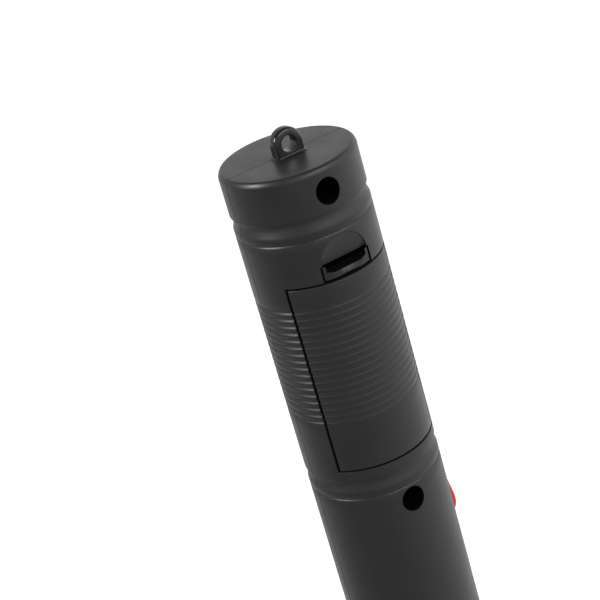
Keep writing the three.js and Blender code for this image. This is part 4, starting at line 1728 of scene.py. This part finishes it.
@dataclass
class PressButton:
    """The red side button with its ramped crown, and the switch behind it.

    Attributes:
        skin: Radius of the tube that it stands out of.
        flange: How far its flange reaches past the crown.
        flange_depth: Thickness of the flange.
        peak: Height of the thumb edge over the crown's lower end.
        pin: Radius of the switch's plunger.
    """

    skin: float
    flange: float = 1.1
    flange_depth: float = 1.2
    peak: float = 3.4
    pin: float = 1.1

    def build_cap(self) -> bpy.types.Object:
        """Builds the button: a crown that rises to a thumb edge, on a flange."""
        low, high = box_mm("press_button")
        top, bottom = high.z - self.flange, low.z + self.flange
        start, foot = low.x + self.flange_depth, self.skin + 0.1
        peak = bottom + self.peak
        crown = [(start - 0.3, top)]
        for step in range(11):
            share = step / 10
            swell = math.sin(math.pi / 2 * share**1.5)
            crown.append((foot + (high.x - foot) * swell, top + (peak - top) * share))
        crown += [(high.x - 0.12, bottom + 2.2), (high.x - 0.5, bottom + 1.3)]
        crown += [(self.skin + 0.3, bottom + 0.4), (self.skin, bottom), (start - 0.3, bottom)]
        half = high.y - self.flange
        cap = Shape.prism(Axis.Y, crown, -half, half)
        proud = self.skin - 0.1
        cap.round_edges(1.1, 5, where=lambda at: at.x > proud and abs(abs(at.y) - half) < 0.01)
        flange = Shape.block((low.x, low.y, low.z), (start, high.y, high.z))
        flange.round_edges(0.5, 3, where=lambda at: abs(abs(at.y) - high.y) < 0.01)
        cap.combine(flange, Join.ADD)
        return cap.piece("button_cap", Body.BUTTON, BUTTON, "button_plastic", ["press_button"])

    def build_switch(self) -> None:
        """Builds the switch's case and its plunger."""
        low, high = box_mm("switch_body")
        case = Shape.block(low, high).round_edges(0.25, 2)
        rod_low, rod_high = box_mm("switch_plunger")
        centre = tuple(middle_mm("switch_plunger").yz)
        room = self.pin + CLEARANCE
        case.combine(Shape.rod(Axis.X, room, rod_low.x - 1.5, high.x + 1, centre, 24), Join.CUT)
        case.piece("switch_case", Body.HOUSING, EPOXY, "part_black", ["switch_body"])
        pin = Shape.rod(Axis.X, self.pin, rod_low.x, rod_high.x, centre, 32).round_edges(0.25, 3)
        pin.piece("plunger_pin", Body.BUTTON, ZINC, "screw_steel", ["switch_plunger"])


# ---- nose ----


@dataclass
class Nose:
    """The slim probe: barrel, clear tip, lamp and sensing sleeve.

    Attributes:
        tube: Sizes of the tube.
        wall: Wall of the barrel.
        collar_height: Height of the collar in the neck.
        top_radius: Radius of the barrel at the neck.
        end_radius: Radius at its lower end.
        tip_flat: Radius of the flat at the tip's end.
        tip_dome: Height of the tip's dome.
        lamp_room: Radius of the hollow round the lamp.
        roof_height: Height of that hollow's dome.
        lamp_radius: Radius of the lamp.
        foil: Thickness of the sensing foil.
    """

    tube: Tube
    wall: float = 1.6
    collar_height: float = 2.1
    top_radius: float = 8.4
    end_radius: float = 6.6
    tip_flat: float = 2.2
    tip_dome: float = 6.2
    lamp_room: float = 3.25
    roof_height: float = 2.6
    lamp_radius: float = 2.5
    foil: float = 0.5

    def build_barrel(self) -> bpy.types.Object:
        """Builds the tapered barrel with its collar."""
        low, high = box_mm("nose_tube")
        top, end, wall = self.top_radius, self.end_radius, self.wall
        straight, collar = self.tube.neck_end_z - 4, high.z - self.collar_height
        outline = [
            (end - wall, low.z),
            (end - 0.4, low.z),
            (end - 0.1, low.z + 0.12),
            (end, low.z + 0.45),
            (top - 0.02, straight),
            (top, straight + 1),
            (top, collar - 0.02),
            (high.x - 0.2, collar),
            (high.x, collar + 0.2),
            (high.x, high.z - 0.2),
            (high.x - 0.2, high.z),
            (top - wall, high.z),
            (top - wall, self.tube.neck_end_z),
        ]
        barrel = Shape.turned(outline, 96, closed=True)
        return barrel.piece("nose_barrel", Body.HOUSING, BARREL, "shell_plastic", ["nose_tube"])

    def build_tip(self) -> bpy.types.Object:
        """Builds the clear red tip, hollow where the lamp sits."""
        low, high = box_mm("tip_lens")
        lamp_low, _ = box_mm("lamp")
        radius, flat, dome = high.x, self.tip_flat, self.tip_dome
        shoulder = box_mm("nose_tube")[0].z - CLEARANCE
        outline = [(0.0, low.z), (flat * 0.6, low.z)]
        outline += arc((flat, low.z + 0.05 + dome), (radius - flat, dome), -90, 0, 12)
        plug = radius - self.wall - CLEARANCE
        outline += [(radius, shoulder - 0.15), (radius - 0.15, shoulder), (plug, shoulder)]
        outline += [(plug, high.z - 0.4), (plug - 0.4, high.z), (self.lamp_room, high.z)]
        springing = lamp_low.z - CLEARANCE + self.roof_height
        outline += arc((0.0, springing), (self.lamp_room, self.roof_height), 0, -90, 6)
        tip = Shape.turned(outline, 72)
        return tip.piece("clear_tip", Body.HOUSING, LENS, "clear_red", ["tip_lens"])

    def build_lamp(self) -> None:
        """Builds the lamp in the tip, with its flange."""
        low, high = box_mm("lamp")
        radius = self.lamp_radius
        outline = arc((0.0, low.z + radius), (radius, radius), -90, 0, 8)
        outline += [(radius, high.z - 1.0), (high.x - 0.1, high.z - 1.0), (high.x, high.z - 0.9)]
        outline += [(high.x, high.z - 0.1), (high.x - 0.1, high.z), (0.0, high.z)]
        lamp = Shape.turned(outline, 48)
        lamp.piece("red_lamp", Body.HOUSING, LAMP, "clear_red", ["lamp"])

    def build_sleeve(self) -> None:
        """Builds the brass sensing sleeve, rolled from foil with a slit."""
        low, high = box_mm("sensor_sleeve")
        inner = high.x - self.foil
        outline = [(inner, low.z), (high.x, low.z), (high.x, high.z), (inner, high.z)]
        sleeve = Shape.turned(outline, 64, closed=True)
        slit = Shape.block((-0.4, 0, low.z - 1), (0.4, high.x + 1, high.z + 1))
        sleeve.combine(slit, Join.CUT).round_edges(0.1, 2)
        sleeve.piece("foil_sleeve", Body.HOUSING, BRASS, "sleeve_brass", ["sensor_sleeve"])


# ---- battery and its connector ----


@dataclass
class Battery:
    """The nine-volt block with its crimped can, terminals, snap connector and leads.

    Attributes:
        corner: Radius of the can's upright edges.
        crimp: Width of the crimped rim at its ends.
        recess: Depth of its end plates.
        lead: Radius of a lead.
        lead_y: Depth at which the leads run.
    """

    corner: float = 2.6
    crimp: float = 0.7
    recess: float = 0.5
    lead: float = 0.75
    lead_y: float = -1.2

    def build_block(self) -> bpy.types.Object:
        """Builds the can: rounded corners, crimped ends and recessed end plates."""
        low, high = box_mm("battery")
        block = Shape.block(low, high)
        middle = middle_mm("battery").z
        block.round_edges(self.corner, 6, where=lambda at: abs(at.z - middle) < 1)
        ends = [face for face in block.mesh.faces if abs(face.normal.z) > 0.9]
        bmesh.ops.inset_individual(block.mesh, faces=ends, thickness=self.crimp)
        for face in ends:
            inward = -math.copysign(self.recess, face.normal.z)
            made = bmesh.ops.extrude_face_region(block.mesh, geom=[face])
            fresh = [item for item in made["geom"] if isinstance(item, bmesh.types.BMVert)]
            bmesh.ops.translate(block.mesh, verts=fresh, vec=(0, 0, inward))
            bmesh.ops.delete(block.mesh, geom=[face], context="FACES_ONLY")
        block.weld()
        block.round_edges(0.22, 3, sharper=50)
        return block.piece("block_battery", Body.HOUSING, JACKET, "battery_jacket", ["battery"])

    def build_terminals(self) -> None:
        """Builds the round stud and the petalled socket."""
        low, high = box_mm("battery_stud")
        end, top = low.z, high.z
        outline = [(0, end), (2.0, end), (2.4, end + 0.2), (2.5, end + 0.6), (2.3, end + 1.1)]
        outline += [(2.25, top - 0.4), (2.8, top - 0.35), (2.8, top), (0, top)]
        stud = Shape.turned(outline, 40).move((middle_mm("battery_stud").x, 0, 0))
        stud.piece("snap_stud", Body.HOUSING, NICKEL, "terminal_nickel", ["battery_stud"])
        outline = [(2.35, end + 0.1), (2.7, end), (3.2, end + 0.1), (3.5, end + 0.6)]
        outline += [(3.45, top - 0.35), (3.75, top - 0.3), (3.75, top), (0, top)]
        outline += [(0, top - 0.4), (2.5, top - 0.5), (2.6, end + 0.7)]
        cup = Shape.turned(outline, 48)
        cuts = Shape()
        for turn in range(0, 360, 60):
            gap = Shape.block((2.2, -0.3, end - 0.5), (5, 0.3, top - 0.7))
            cuts.beside(gap.turn(Axis.Z, turn))
        cup.combine(cuts, Join.CUT)
        cup.move((middle_mm("battery_socket").x, 0, 0))
        cup.piece("snap_cup", Body.HOUSING, NICKEL, "terminal_nickel", ["battery_socket"])

    def build_connector(self) -> None:
        """Builds the soft connector cap with its lead outlets."""
        low, high = box_mm("snap_connector")
        cap = Shape.block(low, high)
        middle = middle_mm("snap_connector").z
        cap.round_edges(4.0, 8, where=lambda at: abs(at.z - middle) < 0.5)
        cap.round_edges(0.7, 4)
        rim = Shape.block((low.x + 2.2, -1.1, low.z - 0.01), (high.x - 2.2, 1.1, low.z + 0.35))
        cap.combine(rim.round_edges(0.15, 2), Join.CUT)
        cap.piece("connector_cap", Body.HOUSING, VINYL, "connector_vinyl", ["snap_connector"])

    def build_leads(self) -> None:
        """Builds the two leads from the connector to the board."""
        connector, _ = box_mm("snap_connector")
        board, board_high = box_mm("circuit_board")
        solder, y = board.y - CLEARANCE, self.lead_y
        for name, node, side, finish, slot in (
            ("lead_red", "battery_lead_red", -1, WIRE_RED, "wire_red"),
            ("lead_black", "battery_lead_black", 1, WIRE_BLACK, "wire_black"),
        ):
            points = (
                (side * 3, y, connector.z - CLEARANCE),
                (side * 4.4, y, -92.9),
                (side * 7, y, -97.9),
                (side * 7, y, -104.8),
                (side * 6.4, -0.4, board_high.z),
                (side * 6.2, solder - 0.85, board_high.z - 4),
            )
            Shape.tube(points, self.lead).piece(name, Body.HOUSING, finish, slot, [node])


# ---- circuit board ----


@dataclass
class CircuitBoard:
    """The board and the parts soldered to it.

    Attributes:
        housing: The housing that holds it.
        lead: Radius of the thin leads.
        leg_pitch: Distance between the chip's legs.
        leg_half: Half the width of a leg.
    """

    housing: Housing
    lead: float = 0.5
    leg_pitch: float = 1.6
    leg_half: float = 0.3

    def build_board(self) -> None:
        """Builds the laminate with its screw holes and the corner cut away by the button."""
        low, high = box_mm("circuit_board")
        board = Shape.block(low, high)
        button_low, _ = box_mm("press_button")
        corner = (self.housing.tube.inner - 4.6, low.y - 1, button_low.z - 1)
        board.combine(Shape.block(corner, (30, high.y + 1, high.z + 1)), Join.CUT)
        nodes = ("board_screw_1", "board_screw_2")
        holes = Shape()
        for node in nodes:
            centre, radius = tuple(middle_mm(node).xz), self.housing.pilot
            holes.beside(Shape.rod(Axis.Y, radius, low.y - 1, high.y + 1, centre, 24))
        board.combine(holes, Join.CUT).round_edges(0.12, 1, sharper=60)
        board.piece("solder_board", Body.HOUSING, LAMINATE, "board_laminate", ["circuit_board"])
        screw = Screw(head=1.9, head_height=1.2, shank=0.75, socket=0.8, pitch=0.8)
        for index, node in enumerate(nodes, 1):
            screw.build(f"board_fixing_{index}", node)

    def build_chip(self) -> None:
        """Builds the detector chip: a moulded body with a notch, over eight legs."""
        low, high = box_mm("detector_chip")
        body = Shape.block((low.x + 1, low.y, low.z), (high.x - 1, high.y - 0.5, high.z))
        body.round_edges(0.18, 2)
        notch = Shape.rod(Axis.Y, 0.8, low.y - 1, low.y + 0.35, (0, high.z), 24)
        body.combine(notch, Join.CUT)
        dimple = Shape.rod(Axis.Y, 0.45, low.y - 1, low.y + 0.2, (low.x + 2, high.z - 1), 20)
        body.combine(dimple, Join.CUT)
        body.piece("chip_body", Body.HOUSING, EPOXY, "part_black", ["detector_chip"])
        legs = Shape()
        middle = middle_mm("detector_chip").z
        root, bend, out = high.x - 1.2, high.x - 0.35, high.x
        outline = [(root, 0.0), (high.x - 0.4, 0.0), (out, 0.3), (out, high.y), (bend, high.y)]
        outline += [(bend, 0.45), (high.x - 0.6, 0.3), (root, 0.3)]
        for side in (-1, 1):
            for row in range(4):
                z = middle + self.leg_pitch * (row - 1.5)
                leg = [(side * x, y) for x, y in outline]
                legs.beside(Shape.prism(Axis.Z, leg, z - self.leg_half, z + self.leg_half))
        legs.piece("chip_legs", Body.HOUSING, TIN, "terminal_nickel", [])

    def build_capacitor(self) -> None:
        """Builds the capacitor lying on the board: crimped sleeve and sunken top."""
        low, high = box_mm("capacitor")
        radius = (high.x - low.x) / 2
        middle = (low + high) / 2
        foot, top, waist = low.z + 0.15, high.z - 0.15, radius - 0.3
        outline = [(0, foot), (radius - 0.5, foot), (radius - 0.1, low.z), (radius, low.z + 0.3)]
        outline += [(radius, high.z - 2.2), (waist, high.z - 1.7), (waist, high.z - 1.4)]
        outline += [(radius, high.z - 1.0), (radius, high.z - 0.2), (waist, high.z)]
        outline += [(radius - 0.9, top), (0, top)]
        can = Shape.turned(outline, 48)
        can.move((middle.x, middle.y, 0))
        can.piece("capacitor_can", Body.HOUSING, SLEEVE_BLUE, "part_blue", ["capacitor"])

    def build_trimmer(self) -> None:
        """Builds the sensitivity trimmer with its slotted rotor."""
        low, high = box_mm("trimmer")
        middle = (low + high) / 2
        centre = (middle.x, middle.z)
        base = Shape.block((low.x, low.y + 0.7, low.z), high).round_edges(0.3, 3)
        collar = Shape.rod(Axis.Y, 2.2, low.y + 0.3, high.y - 0.5, centre, 40)
        base.combine(collar.round_edges(0.15, 2), Join.ADD)
        base.piece("trimmer_case", Body.HOUSING, NYLON_BLUE, "part_blue", ["trimmer"])
        rotor = Shape.rod(Axis.Y, 1.6, low.y, low.y + 0.28, centre, 40)
        slot = Shape.block((-1.8, low.y - 0.2, -0.22), (1.8, low.y + 0.15, 0.22))
        slot.move((middle.x, 0, middle.z))
        rotor.combine(slot, Join.CUT)
        rotor.piece("trimmer_rotor", Body.HOUSING, TIN, "terminal_nickel", [])

    def build_resistors(self) -> None:
        """Builds the three resistors: waisted bodies with wire ends."""
        for index in (1, 2, 3):
            node = f"resistor_{index}"
            low, high = box_mm(node)
            middle = (low + high) / 2
            big = (high.x - low.x) / 2
            half = [(0.0, 0.0), (0.3, 0.0), (0.3, 0.3), (big * 0.8, 0.4)]
            half += [(big, 0.9), (big, 1.5), (big * 0.84, 2.0)]
            outline = [(radius, low.z + rise) for radius, rise in half]
            outline += [(radius, high.z - rise) for radius, rise in reversed(half)]
            body = Shape.turned(outline, 28).move((middle.x, middle.y, 0))
            body.piece(f"ringed_{node}", Body.HOUSING, LACQUER, "resistor_lacquer", [node])

    def build_buzzer(self) -> None:
        """Builds the buzzer's case with its sound hole."""
        low, high = box_mm("buzzer")
        middle = (low + high) / 2
        radius = (high.x - low.x) / 2
        top, well, deep = high.y, high.y - 0.25, high.y - 1.6
        outline = [(0, low.y), (radius - 0.3, low.y), (radius, low.y + 0.3), (radius, top - 0.6)]
        outline += [(radius - 0.25, top - 0.15), (radius - 0.6, top), (radius - 1.4, top)]
        outline += [(radius - 1.6, well), (1.2, well), (1.0, top - 0.45), (1.0, deep), (0, deep)]
        case = Shape.turned(outline, 64)
        case.turn(Axis.X, -TOP).move((middle.x, 0, middle.z))
        case.piece("buzzer_case", Body.HOUSING, EPOXY, "part_black", ["buzzer"])

    def build_nose_leads(self) -> None:
        """Builds the thin leads from the board to the lamp and the sensing sleeve."""
        board, _ = box_mm("circuit_board")
        _, nose_top = box_mm("nose_tube")
        _, sleeve = box_mm("sensor_sleeve")
        _, lamp = box_mm("lamp")
        neck_end = self.housing.tube.neck_end_z
        foot, solder = board.z + 4, board.y - CLEARANCE
        screw = self.housing.tube.down(165.75)
        radius = self.lead
        for name, node, x, start in (
            ("lamp_wire_1", "lamp_lead_1", -1.27, -8.6),
            ("lamp_wire_2", "lamp_lead_2", 1.27, -6.6),
        ):
            points = (
                (start, solder - 0.6, foot),
                (start, solder - 1.6, screw + 4),
                (start + 0.8, -1, screw - 3),
                ((start + x) / 2, -0.4, nose_top.z + 1),
                (x, 0, neck_end),
                (x, 0, sleeve.z),
                (x, 0, lamp.z + CLEARANCE),
            )
            Shape.tube(points, radius).piece(name, Body.HOUSING, WIRE_RED, "wire_red", [node])
        middle = sleeve.x - Nose.foil / 2
        points = (
            (7.4, solder - 0.6, foot),
            (7.4, solder - 1.6, screw + 4),
            (7, -1, screw - 3),
            (5.4, -0.4, nose_top.z + 1),
            (middle, 0, neck_end),
            (middle, 0, sleeve.z + CLEARANCE),
        )
        wire = Shape.tube(points, radius)
        wire.piece("sensor_wire", Body.HOUSING, WIRE_BLACK, "wire_black", ["sensor_lead"])


# ---- studio ----


@dataclass
class Studio:
    """Pale floor, soft lights, surroundings and camera.

    Attributes:
        azimuth: Camera's direction round the object, in degrees; 0 looks along +Y.
        elevation: Its height above the horizon, in degrees.
        roll: Its roll, in degrees.
        distance: Its distance from the point it looks at, in millimetres.
        target: The point it looks at, in millimetres.
        lens: Focal length in millimetres on a 36 mm sensor.
        floor_z: Height of the floor, in metres.
        window: Direction of the room's brightest side, in degrees from -Y towards +X.
        bounce: How much brighter the room is in front, above the table's edge.
        room: The room's level away from the window and towards it.
        ceiling: Level overhead, as a share of the level round about.
        glow: How much light the floor gives by itself.
    """

    azimuth: float = -23.80
    elevation: float = 23.84
    roll: float = -16.28
    distance: float = 493.9
    target: tuple[float, float, float] = (-12.86, -11.24, -38.62)
    lens: float = 112.1
    floor_z: float = -0.32
    window: float = 110.0
    bounce: float = 0.6
    room: Point = (0.27, 1.12)
    ceiling: float = 0.3
    glow: float = 0.55

    def build(self) -> None:
        """Builds everything that isn't the object."""
        bpy.context.scene.view_settings.view_transform = "Standard"
        self._camera()
        self._floor()
        self._world()
        self._light("front_box", (0.19, -0.78, 0.46), (0.80, 0.20), 2.6)
        self._light("left_box", (-0.78, 0.07, 0.42), (0.28, 0.28), 6.0)

    def _axes(self) -> tuple[Vector, Vector, Vector]:
        """The camera's right, up and backward directions."""
        around, above = math.radians(self.azimuth), math.radians(self.elevation)
        flat = Vector((math.sin(around), -math.cos(around), 0)) * math.cos(above)
        back = flat + Vector((0, 0, math.sin(above)))
        right = Vector((math.cos(around), math.sin(around), 0))
        up = back.cross(right)
        turn, swing = math.cos(math.radians(self.roll)), math.sin(math.radians(self.roll))
        return right * turn + up * swing, up * turn - right * swing, back

    def _camera(self) -> None:
        """Makes the camera."""
        right, up, back = self._axes()
        data = bpy.data.cameras.new("camera")
        data.lens = self.lens
        data.sensor_width = 36.0
        data.clip_start = 0.01
        camera = bpy.data.objects.new("camera", data)
        bpy.context.scene.collection.objects.link(camera)
        place = Matrix((right, up, back)).transposed().to_4x4()
        place.translation = (Vector(self.target) + back * self.distance) * MM
        camera.matrix_world = place
        bpy.context.scene.camera = camera

    def _floor(self) -> None:
        """Makes the pale floor under the tester."""
        mesh = bmesh.new()
        bmesh.ops.create_circle(mesh, cap_ends=True, segments=64, radius=8.0)
        bmesh.ops.translate(mesh, verts=mesh.verts[:], vec=(0, 0, self.floor_z))
        data = bpy.data.meshes.new("floor")
        mesh.to_mesh(data)
        floor = bpy.data.objects.new("floor", data)
        bpy.context.scene.collection.objects.link(floor)
        paper = bpy.data.materials.new("paper, white, matt")
        paper.use_nodes = True
        shader = paper.node_tree.nodes["Principled BSDF"]
        shader.inputs["Base Color"].default_value = linear("f4f4f4")
        shader.inputs["Roughness"].default_value = 0.95
        shader.inputs["Emission Color"].default_value = (1, 1, 1, 1)
        shader.inputs["Emission Strength"].default_value = self.glow
        data.materials.append(paper)
        # The floor isn't mirrored in the object: the room's own brightness is.
        floor.visible_glossy = False
        floor.visible_diffuse = False

    def _world(self) -> None:
        """Makes the white room, brightest on the side of its window."""
        world = bpy.data.worlds.new("studio")
        world.use_nodes = True
        bpy.context.scene.world = world
        tree = world.node_tree
        tree.nodes.clear()
        bright = math.radians(self.window)
        towards = Vector((math.sin(bright), -math.cos(bright), 0.0))
        direction = add_node(tree, "ShaderNodeTexCoord").outputs["Generated"]
        facing = add_node(
            tree,
            "ShaderNodeVectorMath",
            {1: towards},
            {0: direction},
            operation="DOT_PRODUCT",
        ).outputs["Value"]
        level = ramp(tree, facing, (-1.0, 1.0), self.room)
        parts = add_node(tree, "ShaderNodeSeparateXYZ", {}, {0: direction})
        height = parts.outputs["Z"]
        smooth = "SMOOTHSTEP"
        low = ramp(tree, height, (-0.3, 0.1), (0.0, self.bounce), interpolation_type=smooth)
        front = ramp(tree, parts.outputs["Y"], (0.1, -0.5))
        bounce = calculate(tree, "MULTIPLY_ADD", low, front, 1.0)
        overhead = ramp(tree, height, (0.42, 0.75), (1.0, self.ceiling))
        level = calculate(tree, "MULTIPLY", calculate(tree, "MULTIPLY", level, bounce), overhead)
        room = add_node(tree, "ShaderNodeBackground", {}, {"Strength": level})
        plain = add_node(tree, "ShaderNodeBackground", {"Strength": 1.0})
        for shade in (room, plain):
            shade.inputs["Color"].default_value = (1, 1, 1, 1)
        seen = add_node(tree, "ShaderNodeLightPath").outputs["Is Camera Ray"]
        shades = {0: seen, 1: room.outputs[0], 2: plain.outputs[0]}
        mixed = add_node(tree, "ShaderNodeMixShader", {}, shades)
        add_node(tree, "ShaderNodeOutputWorld", {}, {"Surface": mixed.outputs[0]})

    def _light(self, name: str, place: Sequence[float], size: Point, power: float) -> None:
        """Makes a soft light that faces the object's upper end."""
        data = bpy.data.lights.new(name, "AREA")
        data.shape = "RECTANGLE"
        data.size, data.size_y = size
        data.energy = power
        light = bpy.data.objects.new(name, data)
        bpy.context.scene.collection.objects.link(light)
        light.location = place
        light.rotation_mode = "QUATERNION"
        aim = Vector((0, 0, -0.03)) - Vector(place)
        light.rotation_quaternion = aim.to_track_quat("-Z", "Y")


def main() -> None:
    """Builds the studio and every piece, in order."""
    logging.basicConfig(level=logging.INFO, format="%(name)s: %(message)s")
    Studio().build()
    tube = Tube.from_frame()
    housing = Housing(tube)
    housing.build_rear()
    housing.build_front()
    housing.build_screws()
    door = Door(housing)
    door.build_panel()
    door.build_latch()
    door.build_pad()
    button = PressButton(tube.outer)
    button.build_cap()
    button.build_switch()
    nose = Nose(tube)
    nose.build_barrel()
    nose.build_tip()
    nose.build_lamp()
    nose.build_sleeve()
    battery = Battery()
    battery.build_block()
    battery.build_terminals()
    battery.build_connector()
    battery.build_leads()
    board = CircuitBoard(housing)
    board.build_board()
    board.build_chip()
    board.build_capacitor()
    board.build_trimmer()
    board.build_resistors()
    board.build_buzzer()
    board.build_nose_leads()


if __name__ == "__main__":
    main()
